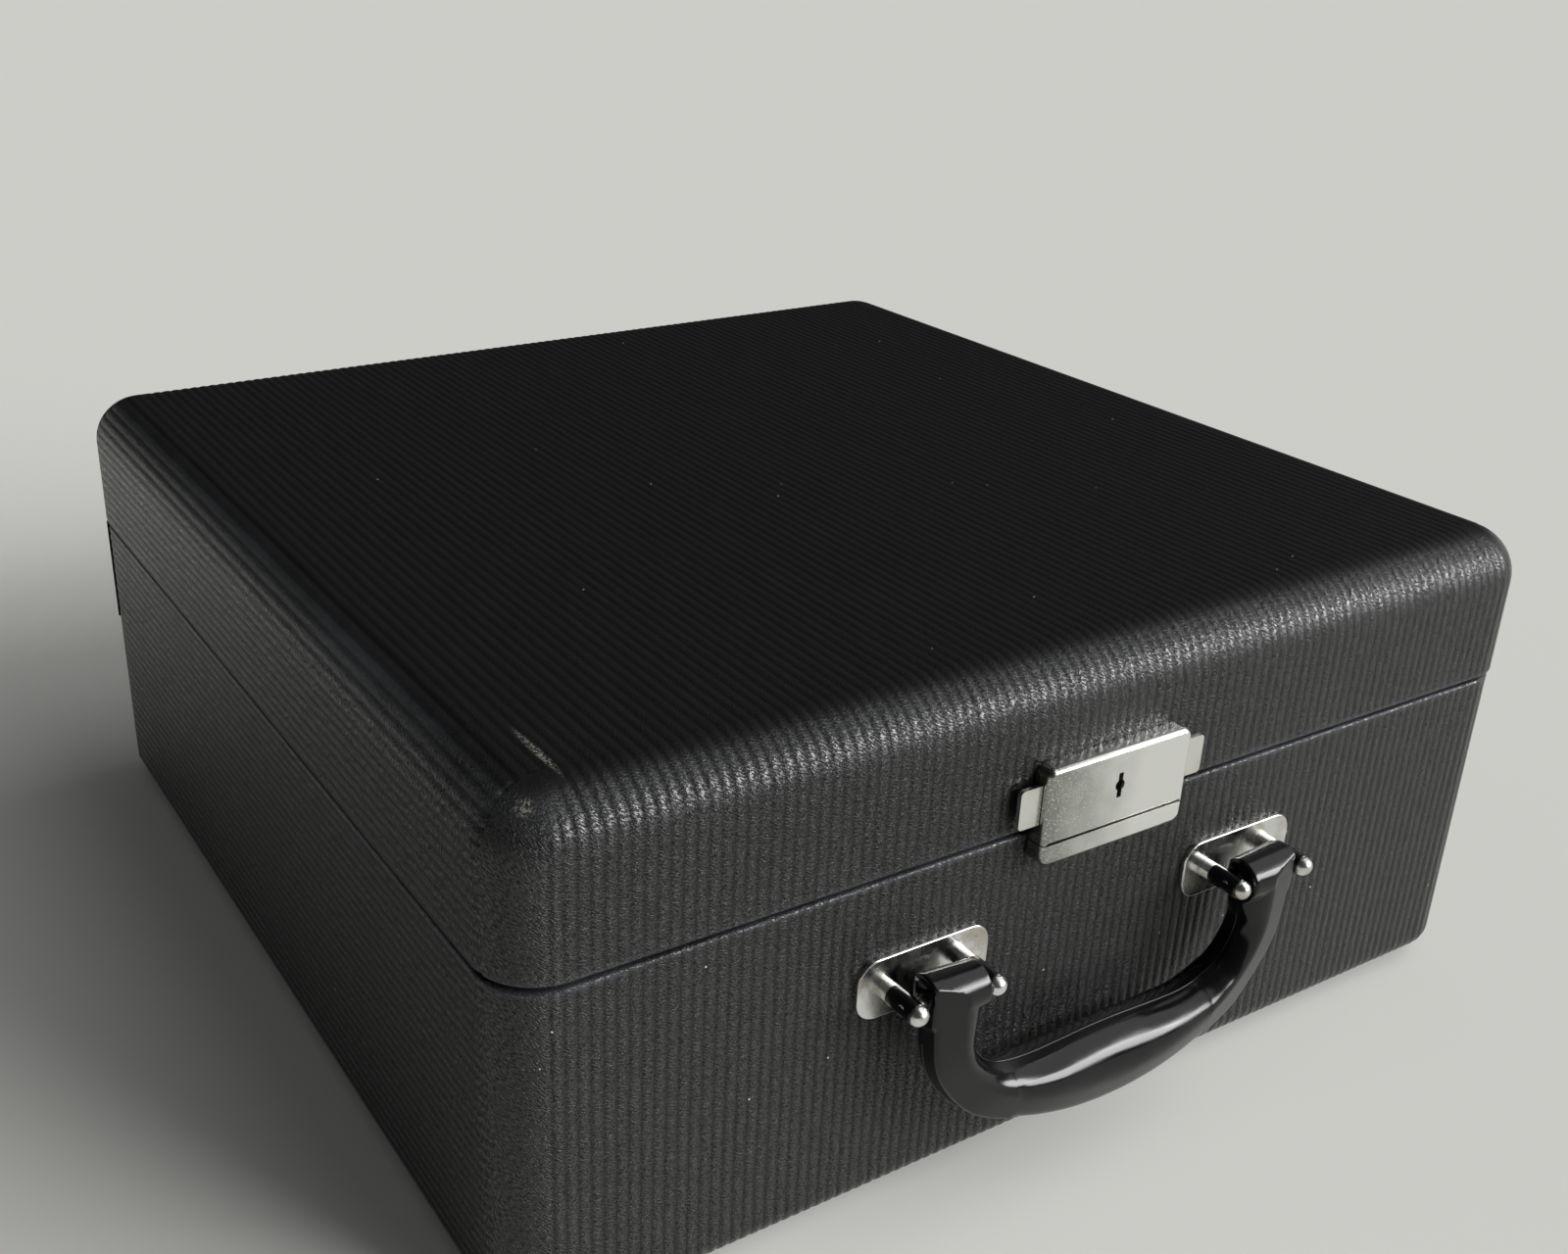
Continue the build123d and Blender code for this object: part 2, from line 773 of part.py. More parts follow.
def lock_box(low_z, high_z, back_y, top_corner, low_corner):
    """Pressed box with rounded front edges and rounded corners at its top or its bottom."""
    half = lock_width / 2
    box = block(-half, half, lock_front_y, back_y, low_z, high_z)
    uprights = box.edges().filter_by(Axis.Y)
    if top_corner:
        box = fillet(uprights.group_by(Axis.Z)[-1], top_corner)
    if low_corner:
        box = fillet(uprights.group_by(Axis.Z)[0], low_corner)
    front = box.faces().sort_by(Axis.Y)[0]
    level = high_z if low_corner else low_z
    rim = [edge for edge in front.edges() if abs(edge.center().Z - level) > lock_edge_radius / 2]
    return fillet(rim, lock_edge_radius)


def lock_hollow(low_z, high_z, back_y):
    """The space inside a pressed box, one sheet thickness in."""
    half = lock_width / 2 - lock_sheet
    return block(-half, half, lock_front_y + lock_sheet, back_y, low_z, high_z)


def lock_cover():
    """Cover of the lock on the lid, with a keyhole, side slots and slots for the hook's prongs."""
    plate, hook_back, hook_front, slide_back, slide_front, cam_back, cam_front = lock_layers()
    low_z = seam_z - lock_drop
    high_z = seam_z + lock_rise
    cover = lock_box(low_z, high_z, lid_front_y, lock_corner_radius, 0)
    cover -= lock_hollow(low_z + lock_sheet, high_z - lock_sheet, lid_front_y)
    cover -= keyhole(lock_front_y, lock_front_y + 2 * lock_sheet)
    slide_low = seam_z + slide_above_seam
    cover -= block(
        -far, far, slide_front - slide_slot_gap, slide_back + slide_slot_gap,
        slide_low - slide_slot_gap, slide_low + slide_height + slide_slot_gap,
    )
    for side in (-1, 1):
        low, high = barbed_span(side)
        cover -= block(
            low - hook_slot_gap, high + hook_slot_gap, hook_front - hook_slot_gap, lid_front_y,
            low_z, low_z + lock_sheet,
        )
    return cover


def lock_back_plate():
    """Plate on the lid behind the cover, with the spring stop and the bearing of the cam."""
    plate, hook_back, hook_front, slide_back, slide_front, cam_back, cam_front = lock_layers()
    half = lock_width / 2 - lock_sheet - lock_plate_gap
    sheet = block(
        -half, half, plate, lid_front_y, lid_rim_z + lock_plate_gap,
        seam_z + lock_rise - lock_sheet - lock_plate_gap,
    )
    stop_low = seam_z + slide_above_seam
    stop = block(
        -spring_stop_half, spring_stop_half, slide_front, plate, stop_low, stop_low + spring_stop_height
    )
    bearing = rod_y(0, plate, lid_front_y, seam_z + keyhole_above_seam, cam_hub_radius + cam_hub_fit)
    holes = [rivet_hole(x, z, plate, lid_front_y) for x, z in lock_rivet_places()]
    return without(sheet + stop, [bearing] + holes)


def lock_rivets():
    """Rivets through the lid's front, flush in the back plate, with heads inside."""
    plate = lock_layers()[0]
    inside = lid_front_y + covering + wall_board + lining
    return [rivet_through(x, z, plate, inside, 1) for x, z in lock_rivet_places()]


def lock_keeper():
    """Pressed box under the cover, on the tray."""
    high_z = seam_z - lock_drop - lock_part_gap
    low_z = high_z - keeper_height
    box = lock_box(low_z, high_z, front_y, 0, keeper_corner_radius)
    hollow = lock_hollow(low_z + lock_sheet, high_z, front_y)
    inset = keeper_corner_radius - lock_sheet
    lower = hollow.edges().filter_by(Axis.Y).group_by(Axis.Z)[0]
    return box - fillet(lower, inset)


def prong_span(side):
    """Low and high end along X of one prong of the hook."""
    near = slide_inner_x + nose_width + catch_gap + barb_length
    reach = near + prong_width
    return (near, reach) if side > 0 else (-reach, -near)


def barbed_span(side):
    """The same with the barb, which points towards the middle."""
    low, high = prong_span(side)
    return (low - barb_length, high) if side > 0 else (low, high + barb_length)


def keeper_hook():
    """Foot on the tray with two upright prongs and their barbs."""
    plate, hook_back, hook_front, slide_back, slide_front, cam_back, cam_front = lock_layers()
    high_z = seam_z - lock_drop - lock_part_gap
    low_z = high_z - keeper_height + lock_sheet + hole_clearance
    reach = prong_span(1)[1]
    hook = block(-reach, reach, hook_front, front_y, low_z, high_z)
    for side in (-1, 1):
        low, high = prong_span(side)
        barb_low, barb_high = barbed_span(side)
        top = seam_z + prong_rise
        hook += block(low, high, hook_front, hook_back, low_z, top)
        hook += block(barb_low, barb_high, hook_front, hook_back, top - barb_height, top)
    holes = [rivet_hole(x, z, hook_front, front_y) for x, z in keeper_rivet_places()]
    return without(hook, holes)


def keeper_rivets():
    """Rivets through the foot of the hook and the front wall, with heads inside the lip."""
    hook_front = lock_layers()[2]
    inside = -inner_y + lip_thickness
    return [rivet_through(x, z, hook_front, inside, 1) for x, z in keeper_rivet_places()]


def lock_slide(side):
    """Sliding plate with a thumb tab outside and a nose that catches the barb."""
    slide_back = lock_layers()[3]
    slide_front = lock_layers()[4]
    hook_back = lock_layers()[1]
    low_z = seam_z + slide_above_seam
    outer = lock_width / 2 + slide_tab_length
    plate = block(slide_inner_x, outer, slide_front, slide_back, low_z, low_z + slide_height)
    tab_corners = plate.edges().filter_by(Axis.Y).group_by(Axis.X)[-1]
    plate = fillet(tab_corners, slide_tab_corner)
    nose_low = low_z + nose_lift
    nose = block(
        slide_inner_x, slide_inner_x + nose_width, slide_back, hook_back, nose_low, nose_low + nose_height
    )
    whole = plate + nose
    return whole if side > 0 else mirror(whole, Plane.YZ)


def slide_spring(side):
    """Flat zigzag spring between the stop and the inner end of one slide."""
    slide_back = lock_layers()[3]
    slide_front = lock_layers()[4]
    start = spring_stop_half + spring_wire / 2
    length = slide_inner_x - spring_wire / 2 - start
    middle_z = seam_z + slide_above_seam + spring_stop_height / 2
    points = []
    for turn in range(spring_runs + 1):
        swing = spring_swing / 2 if turn % 2 else -spring_swing / 2
        points.append((side * (start + length * turn / spring_runs), middle_z + swing))
    strip = trace(Polyline(*points), line_width=spring_wire)
    width = slide_back - slide_front - 2 * hole_clearance
    return extrude(Plane.XZ.offset(-slide_back + hole_clearance) * strip, width)


def key_cam():
    """Turned piece behind the keyhole: a hub in the back plate and a disc with two lobes."""
    plate, hook_back, hook_front, slide_back, slide_front, cam_back, cam_front = lock_layers()
    z = seam_z + keyhole_above_seam
    half = cam_lobe_width / 2
    cam = rod_y(0, cam_front, lid_front_y, z, cam_hub_radius)
    cam += rod_y(0, cam_front, cam_back, z, cam_radius)
    cam += block(-half, half, cam_front, cam_back, z - cam_lobe_reach, z + cam_lobe_reach)
    return cam - keyhole(cam_front, cam_back)


# Hold-downs inside the tray

def hold_hook_places():
    y = -inner_y + lining + hold_hook_from_wall
    return [(side * hold_hook_spread / 2, y) for side in (-1, 1)]


def screw_places():
    """Centre of each screw with the thickness of the sheet under its head."""
    places = []
    for x, y in hold_hook_places():
        for step in (-1, 1):
            places.append((x + step * screw_pitch / 2, y + hold_hook_foot * 0.35, hold_hook_sheet))
    catch_y = inner_y - lining - catch_from_wall
    for step in (-1, 1):
        places.append((step * catch_screw_pitch / 2, catch_y, catch_foot_sheet))
    return places


def screw_holes():
    return [
        rod_z(x, y, floor_z - screw_length, floor_z + screw_length, screw_radius + hole_clearance)
        for x, y, sheet in screw_places()
    ]


def front_hold_hook(x, y):
    """Bent strip on the floor: a foot, an upright and a lip that points back over the machine's rail."""
    half = hold_hook_width / 2
    sheet = hold_hook_sheet
    foot = block(x - half, x + half, y, y + hold_hook_foot, floor_z, floor_z + sheet)
    rise = block(x - half, x + half, y, y + sheet, floor_z, floor_z + hold_hook_rise)
    lip = block(
        x - half, x + half, y, y + hold_hook_lip,
        floor_z + hold_hook_rise - sheet, floor_z + hold_hook_rise,
    )
    bent = foot + rise + lip
    bends = bent.edges().filter_by(Axis.X).group_by(Axis.Y)[0]
    return without(fillet(bends, sheet), screw_holes())


def machine_pads():
    """Rubber pads that the machine's feet stand on."""
    x = inner_x - lining - pad_from_wall_x
    y = inner_y - lining - pad_from_wall_y
    top = floor_z + pad_height
    pads = []
    for side in (-1, 1):
        for end in (-1, 1):
            pad = rod_z(side * x, end * y, floor_z, top, pad_radius)
            pads.append(fillet(pad.edges().group_by(Axis.Z)[-1], pad_height / 6))
    return pads


def screws():
    """Round-headed wood screws of the hooks and the catch."""
    made = []
    for x, y, sheet in screw_places():
        top = floor_z + sheet
        shank = rod_z(x, y, top - screw_length, top, screw_radius)
        made.append(shank + Pos(x, y, top) * dome(screw_head_radius, screw_head_height))
    return made


def catch_place():
    """Axis of the rear catch, and the level where its lever turns."""
    y = inner_y - lining - catch_from_wall
    return y, floor_z + catch_foot_sheet + catch_post_height


def rear_catch_bracket():
    """Foot plate with a round post for the lever."""
    y, top = catch_place()
    half_x = catch_foot_width / 2
    half_y = catch_foot_depth / 2
    foot = block(-half_x, half_x, y - half_y, y + half_y, floor_z, floor_z + catch_foot_sheet)
    foot = fillet(foot.edges().filter_by(Axis.Z), catch_foot_sheet * 2)
    post = rod_z(0, y, floor_z + catch_foot_sheet, top, catch_post_radius)
    bore = rod_z(0, y, top - catch_post_height / 2, top, lever_pin_radius + hinge_pin_fit)
    return without(foot + post, screw_holes() + [bore])


def rear_catch_pivot():
    """Headed pin that holds the lever on the post."""
    y, top = catch_place()
    head_z = top + lever_sheet + 2 * lever_play
    pin = rod_z(0, y, top - catch_post_height / 2, head_z, lever_pin_radius)
    return pin + Pos(0, y, head_z) * dome(lever_head_radius, lever_head_height)


def rear_catch():
    """Lever that turns over the machine's rear rail."""
    y, top = catch_place()
    low = top + lever_play
    half = lever_width / 2
    reach = lever_length - lever_width
    lever = block(-half, half, y - reach, y, low, low + lever_sheet)
    lever += rod_z(0, y, low, low + lever_sheet, half)
    lever += rod_z(0, y - reach, low, low + lever_sheet, half)
    return lever - rod_z(0, y, low, low + lever_sheet, lever_pin_radius + lever_pin_fit)


def main():
    os.makedirs("parts", exist_ok=True)
    for name in ("front", "back", "left", "right", "bottom"):
        save(f"base_{name}_board", base_board(name))
    for name in ("front", "back", "left", "right", "top"):
        save(f"lid_{name}_board", lid_board(name))
    save("base_covering", base_covering())
    save("base_back_band", base_back_band())
    save("base_lining", base_lining())
    save("rim_lips_long", pair(rim_lip_long))
    save("rim_lips_short", pair(rim_lip_short))
    save("lid_covering", lid_covering())
    save("lid_lining", lid_lining())
    save("bottom_glides", bottom_glides())
    save("base_back_glides", back_glides(base_half_y, glide_height + base_back_glide_z))
    save("lid_back_glides", back_glides(lid_half_y, case_top_z - lid_back_glide_drop))
    for side, word in ((-1, "left"), (1, "right")):
        save(f"hinge_leaf_base_{word}", hinge_leaf(side, -1))
        save(f"hinge_leaf_lid_{word}", hinge_leaf(side, 1))
        save(f"hinge_pin_{word}", hinge_pin(side))
        save(f"{word}_slide", lock_slide(side))
        save(f"{word}_slide_spring", slide_spring(side))
    save("base_hinge_rivets", hinge_rivets(-1))
    save("lid_hinge_rivets", hinge_rivets(1))
    save("handle_plates", pair(handle_plate))
    save("handle_backing_plates", pair(backing_plate))
    save("handle_posts", [handle_post(x, z) for x, z in post_places()])
    save("handle_pivot_pins", pair(pivot_pin))
    save("handle", handle())
    save("lock_cover", lock_cover())
    save("lock_back_plate", lock_back_plate())
    save("lock_rivets", lock_rivets())
    save("lock_keeper", lock_keeper())
    save("keeper_hook", keeper_hook())
    save("keeper_rivets", keeper_rivets())
    save("key_cam", key_cam())
    save("front_hold_hooks", [front_hold_hook(x, y) for x, y in hold_hook_places()])
    save("machine_pads", machine_pads())
    save("hold_down_screws", screws())
    save("rear_catch_bracket", rear_catch_bracket())
    save("rear_catch_pivot", rear_catch_pivot())
    save("rear_catch", rear_catch())


main()
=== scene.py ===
import json
import math
from collections import namedtuple
from functools import partial
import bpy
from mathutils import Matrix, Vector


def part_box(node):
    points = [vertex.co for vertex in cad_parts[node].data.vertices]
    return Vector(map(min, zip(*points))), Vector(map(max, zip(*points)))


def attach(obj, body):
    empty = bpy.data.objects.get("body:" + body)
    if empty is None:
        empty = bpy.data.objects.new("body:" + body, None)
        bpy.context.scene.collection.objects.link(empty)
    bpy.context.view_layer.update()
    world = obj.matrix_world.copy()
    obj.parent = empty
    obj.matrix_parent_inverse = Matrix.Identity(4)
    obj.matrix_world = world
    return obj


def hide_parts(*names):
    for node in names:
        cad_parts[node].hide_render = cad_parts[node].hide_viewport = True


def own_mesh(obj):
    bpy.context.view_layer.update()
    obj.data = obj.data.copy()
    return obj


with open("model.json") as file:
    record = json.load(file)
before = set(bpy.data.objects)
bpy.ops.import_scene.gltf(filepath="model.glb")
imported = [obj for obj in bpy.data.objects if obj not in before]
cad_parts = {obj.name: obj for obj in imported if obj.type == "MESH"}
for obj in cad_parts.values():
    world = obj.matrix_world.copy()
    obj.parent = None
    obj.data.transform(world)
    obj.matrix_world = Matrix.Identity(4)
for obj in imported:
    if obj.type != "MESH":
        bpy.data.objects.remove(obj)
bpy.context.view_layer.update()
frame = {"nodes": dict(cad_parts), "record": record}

from types import SimpleNamespace

import bmesh
import bpy
from mathutils import Matrix, Vector

mm = 0.001

# Points closer than this are one point
weld = 0.001 * mm

# The two shells, lid and tray, as the CAD model has them
corner_radius = 15.5 * mm
lid_edge_radius = 15.0 * mm
base_edge_radius = 7.5 * mm
rim_roll = 1.0 * mm
rim_width = 7.5 * mm

# Ribbed coated cloth
rib_pitch = 3.175 * mm
rib_depth = 0.28 * mm
cloth_thickness = 0.7 * mm
flap_lap = 11.0 * mm
fold_gap = 0.2 * mm

# The crown sinks under the flaps near their edges, on the rounded edge and below it
lap_sink = 0.3 * mm
lap_run = 4.0 * mm
lap_from_edge_share = 0.3

# The flaps' ribs fade out on the upright corners, and earlier near the top
corner_ribs = 8.5 * mm
corner_fade = 5.0 * mm
corner_pull = 11.0 * mm
smooth_crest = 0.8

# All ribs fade out round the rim
rim_fade_before = 1.5 * mm
rim_fade_after = 0.5 * mm

# Steps of the cloth's grid
rib_samples = 6
crown_rows = 16
corner_rows = 4
edge_rows = 12
wall_rows = 6
wall_rows_stop = 2.0 * mm
rim_fade_rows = 2
roll_rows = 4

# Rubbed strip along the rounded edges, whose pale tone is also a painted sheen: how strong it is on the
# sides and on the front and back, and the shares of the edge's radius at which it starts and stops
side_edge_wear_and_sheen = 1.0
end_edge_wear_and_sheen = 0.3
strip_starts = 0.2
strip_full = 0.65
strip_fades = 0.75
strip_stops = 1.3
# Where the pale line round the rim, rubbed coat and painted highlight, fades in before and after the rim's
# edge
rim_line_before = 1.2 * mm
rim_line_after = 0.6 * mm

# The seam stands open by a dark line, more so at the front left corner where the cloth has drawn back
seam_opening = 0.35 * mm
corner_opening = 0.5 * mm
opening_near = 6.0 * mm
opening_far = 55.0 * mm
opening_rise = 12.0 * mm

# The flat faces are dull from dust and use, and the rounded edges keep their gloss
dull_from = 2.5 * mm
dull_to = 0.6 * mm

# The handle's fine mesh, and the ridge that the two halves of its mould left
handle_voxel = 0.4 * mm
handle_smoothing = 4
grip_smoothing = 110
smoothing_share = 0.5
grip_half = 34.0 * mm
grip_below = 24.0 * mm
mould_bead = 0.2 * mm
mould_bead_steps = 2
mould_line_below = 8.0 * mm

# Black sleeves on the posts of the handle, and the bare collar between plate and sleeve
plate_spacing = 107.8 * mm
post_spacing = 23.8 * mm
collar_length = 3.2 * mm
sleeve_radius = 2.8 * mm
sleeve_bore = 2.5 * mm
sleeve_end_gap = 2.6 * mm
sleeve_round = 0.3 * mm
sleeve_steps = 40

# Lock: the line between cover and keeper lies a little higher than on the CAD model
parting_raise = 1.2 * mm
parting_zone = 1.2 * mm
lower_bead = 0.8 * mm
lower_bead_steps = 4
lower_bead_reach = 0.05 * mm

# Angles in degrees: below them faces count as flat, and above them an edge stays crisp
flat_angle = 0.5
crisp_angle = 40
crisp_plate_angle = 35
never_crisp_angle = 180

# Blender's weight at which a large flat face decides the shading of its corners
flat_face_weight = 100

# The threads of the cloth lie slanted on every cord
thread_length = 1.2 * mm
thread_width = 0.36 * mm
thread_slant = 35

# The cloth's surface, colour and gloss. A speck's radius is a share of the spacing of the specks
pebble_size = 0.4 * mm
pebble_share = 0.9
relief_height = 0.11 * mm
streak_width = 1.6 * mm
streak_length = 25 * mm
handling_size = 30 * mm
speck_spacing = 14 * mm
speck_radius_share = 0.02
scraped_thread = 0.6 * mm
groove_coat = 0.3
coat_thin = 0.05
coat_full = 0.95
coat_roughness = 0.2
crease_roughness = 0.42
thread_roughness = 0.22
handling_roughness = 0.1
dull_roughness = 0.4
dull_coat = 0.1
cloth_specular = 0.15

# Noise levels, from 0 to 1, at which a mark starts and at which it is full
thread_levels = {"From Min": 0.38, "From Max": 0.53}
handled_levels = {"From Min": 0.35, "From Max": 0.75}
bared_levels = {"From Min": 0.45, "From Max": 0.62}
plate_cloud_levels = {"From Min": 0.45, "From Max": 0.68}
plate_polish_levels = {"From Min": 0.35, "From Max": 0.7}
plate_speck_levels = {"From Min": 0.6, "From Max": 0.68}
nickel_speck_levels = {"From Min": 0.58, "From Max": 0.66}
resin_polish_levels = {"From Min": 0.3, "From Max": 0.75}
grain_levels = {"From Min": 0.3, "From Max": 0.7}

# Least and most share of the rubbed colour, which also carries a painted sheen, and most share of bared
# threads
rubbed_and_sheen_shares = {"To Min": 0.1, "To Max": 0.55}
bared_most = 0.85

# Scraped spots, each with its middle and half its length along each axis, in millimetres: a streak on the
# lid beside the left edge, and the lid's front left corner. They fade between two shares of that half length
scuff_marks = (
    ((-145.2, -134.0, 143.0), (1.3, 13.0, 2.0)),
    ((-160.0, -157.0, 135.0), (4.0, 4.5, 2.2)),
    ((-156.5, -150.0, 141.0), (3.5, 3.5, 3.0)),
)
scuff_fade = {"From Min": 0.4, "From Max": 1.0, "To Min": 1.0, "To Max": 0.0}

# Grain of plated steel and of moulded resin. Real specks and rubbing marks are finer: these are as coarse
# as they need to be to show. The lock's plates are painted from bright at one place along X to grey at
# another, as a darker reflection
plate_grain = 0.5 * mm
plate_marks = (6 * mm, 0.15 * mm, 0.15 * mm)
plate_relief = 0.01 * mm
reflection_cloud = 8 * mm
reflection_shift = 20 * mm
reflection_run = {"From Min": 16 * mm, "From Max": -12 * mm}
nickel_speck_grain = 0.4 * mm
nickel_polish = {"To Min": 0.16, "To Max": 0.27}
resin_marks = (6 * mm, 0.5 * mm, 0.5 * mm)
resin_smear = 14 * mm
resin_relief = 0.02 * mm
resin_polish = {"To Min": 0.10, "To Max": 0.26}
resin_specular = 0.4

# The photograph's camera: its place and sensor in millimetres, its angles in degrees, its picture in
# pixels, and the nearest and farthest that it sees in metres. The place counts from the middle of the
# shell's bottom
camera_place = (-284.75, -424.69, 312.59)
camera_azimuth = -32.108
camera_elevation = 24.697
camera_roll = -1.401
camera_focal = 1746.1
camera_centre = (711.1, 649.4)
photo_width = 1600.0
photo_height = 1280.0
sensor_width = 36.0
nearest_seen = 0.01
farthest_seen = 20

# Studio, in metres and degrees
floor_half = 12.0
floor_roughness = 0.9
sky_direction = (0.55, -0.35, 0.76)
sky_strength = 0.9
sky_width = 60
window_elevation = 20
window_azimuths = (-34, -58)
window_strength = 2.1
window_width = 25
room_light = (0.12, 0.123, 0.123, 1.0)
room_reflected = (0.04, 0.042, 0.042, 1.0)
background = (0.61, 0.615, 0.59, 1.0)

Marks = namedtuple("Marks", "flat rounded wall rolled end")


# Shape of the shells

def shell_form(node, edge, upward):
    """Sizes of one shell: the lid opens downward (upward 1), the tray opens upward (upward -1)."""
    low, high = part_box(node)
    return SimpleNamespace(
        half_x=(high.x - low.x) / 2,
        half_y=(high.y - low.y) / 2,
        centre_y=(high.y + low.y) / 2,
        height=high.z - low.z,
        rim_z=low.z if upward > 0 else high.z,
        edge=edge,
        upward=upward,
    )


def section_marks(form, half):
    """Distances along the cloth, from the middle of the flat side, at which its path changes."""
    flat = half - form.edge
    rounded = flat + form.edge * math.pi / 2
    wall = rounded + form.height - form.edge - rim_roll
    rolled = wall + rim_roll * math.pi / 2
    return Marks(flat, rounded, wall, rolled, rolled + rim_width - rim_roll)


def section(form, half, distance):
    """Place and outward direction on the shell's cross-section, at a distance along the cloth."""
    marks = section_marks(form, half)
    if distance <= marks.flat:
        return distance, form.height, 0.0, 1.0
    if distance <= marks.rounded:
        turn = (distance - marks.flat) / form.edge
        out = half - form.edge + form.edge * math.sin(turn)
        rise = form.height - form.edge + form.edge * math.cos(turn)
        return out, rise, math.sin(turn), math.cos(turn)
    if distance <= marks.wall:
        return half, form.height - form.edge - (distance - marks.rounded), 1.0, 0.0
    if distance <= marks.rolled:
        turn = (distance - marks.wall) / rim_roll
        out = half - rim_roll + rim_roll * math.cos(turn)
        rise = rim_roll - rim_roll * math.sin(turn)
        return out, rise, math.cos(turn), -math.sin(turn)
    return half - rim_roll - (distance - marks.rolled), 0.0, 0.0, -1.0


def ease(value, start, end):
    """0 before start, 1 after end, and a smooth step between them."""
    share = min(max((value - start) / (end - start), 0.0), 1.0)
    return share * share * (3 - 2 * share)


def end_place(form, end, across, along, sink):
    """Point on the front (-1) or back (1) flap, wrapped round the shell's upright corners."""
    out, rise, lean_out, lean_rise = section(form, form.half_y, along)
    out -= lean_out * sink
    rise -= lean_rise * sink
    straight = form.half_x - corner_radius
    if abs(across) <= straight:
        x = across
        y = out
    else:
        turn = (abs(across) - straight) / corner_radius
        reach = out - (form.half_y - corner_radius)
        x = math.copysign(straight + reach * math.sin(turn), across)
        y = form.half_y - corner_radius + reach * math.cos(turn)
    return Vector((x, form.centre_y + end * y, form.rim_z + form.upward * rise))


def crown_place(form, across, along, sink):
    """Point on the sheet over the top (or bottom) and down both sides."""
    out, rise, lean_out, lean_rise = section(form, form.half_x, abs(across))
    out -= lean_out * sink
    rise -= lean_rise * sink
    straight = form.half_y - corner_radius
    past = max(abs(along) - straight, 0.0)
    reach = out - (form.half_x - corner_radius)
    if past == 0 or reach <= fold_gap:
        x = out
        y = min(abs(along), straight + fold_gap)
    else:
        turn = past / corner_radius
        x = form.half_x - corner_radius + reach * math.cos(turn)
        y = straight + max(reach * math.sin(turn), fold_gap)
    y = math.copysign(y, along)
    return Vector((math.copysign(x, across), form.centre_y + y, form.rim_z + form.upward * rise))


def drawn_back(form, point):
    """The point, moved away from the seam: a little all round and more at the front left corner."""
    corner = Vector((-form.half_x, form.centre_y - form.half_y))
    reach = (point.xy - corner).length
    rise = abs(point.z - form.rim_z)
    opening = seam_opening + (corner_opening - seam_opening) * (1 - ease(reach, opening_near, opening_far))
    return point + Vector((0, 0, form.upward * opening * (1 - ease(rise, 0.0, opening_rise))))


# Cloth on the shells

def lap_turn():
    """Angle from the side's direction to the flap's edge on the upright corner."""
    return math.asin((corner_radius - flap_lap) / corner_radius)


def steps(start, end, count):
    return [start + (end - start) * index / count for index in range(count + 1)]


def rib_steps(start, end):
    """Distances from start to end that follow the ribs' own rhythm."""
    step = rib_pitch / rib_samples
    first = math.floor(start / step) + 1
    last = math.ceil(end / step) - 1
    return [start] + [index * step for index in range(first, last + 1)] + [end]


def rib_crest(distance):
    """Height of the rounded cords from 0 in a narrow groove to 1 on a crest."""
    return abs(math.cos(math.pi * distance / rib_pitch))


def groove_depth(marks, distance, crest):
    """How far the cloth lies below its crests. The grooves run out at the rim."""
    at_rim = ease(distance, marks.wall - rim_fade_before, marks.wall + rim_fade_after)
    return rib_depth * (1 - crest) * (1 - at_rim)


def edge_wear_and_sheen(form, marks, distance, most):
    """How rubbed the cloth is, from 0 to 1, and how much painted sheen it carries: in a strip along the
    rounded edge, and as a painted highlight line at the rim.
    """
    past = (distance - marks.flat) / form.edge
    on_edge = ease(past, strip_starts, strip_full) * (1 - ease(past, strip_fades, strip_stops))
    on_rim = ease(distance, marks.wall - rim_line_before, marks.wall + rim_line_after)
    return max(most * on_edge, on_rim)


def finished(name, bm, smooth_angle=crisp_angle):
    """Turns a bmesh into an object with smooth faces and crisp edges."""
    mesh = bpy.data.meshes.new(name)
    bm.to_mesh(mesh)
    bm.free()
    mesh.shade_smooth()
    mesh.set_sharp_from_angle(angle=math.radians(smooth_angle))
    piece = bpy.data.objects.new(name, mesh)
    bpy.context.scene.collection.objects.link(piece)
    return piece


def make_cloth(name, form, columns, rows, place, sink_at, wear_and_sheen_at, flip):
    """A flat grid of cloth is laid on the shell point by point and then gets its thickness."""
    bm = bmesh.new()
    across_count = len(columns) - 1
    along_count = len(rows) - 1
    bmesh.ops.create_grid(bm, x_segments=across_count, y_segments=along_count, size=1.0)
    laid = bm.verts.layers.float_vector.new("cloth")
    wear_and_sheen_layer = bm.verts.layers.float.new("wear_and_sheen")
    dull = bm.verts.layers.float.new("dull")
    for vert in bm.verts:
        across = columns[round((vert.co.x + 1) / 2 * across_count)]
        along = rows[round((vert.co.y + 1) / 2 * along_count)]
        sink, crest = sink_at(across, along)
        vert.co = drawn_back(form, place(across, along, sink))
        vert[laid] = (across, along * form.upward, crest)
        vert[wear_and_sheen_layer] = wear_and_sheen_at(across, along)
        below_face = form.height - abs(vert.co.z - form.rim_z)
        vert[dull] = 1 - ease(below_face, dull_to, dull_from)
    if flip:
        bmesh.ops.reverse_faces(bm, faces=bm.faces)
    bm.normal_update()
    bmesh.ops.solidify(bm, geom=bm.faces[:], thickness=cloth_thickness)
    return finished(name, bm)


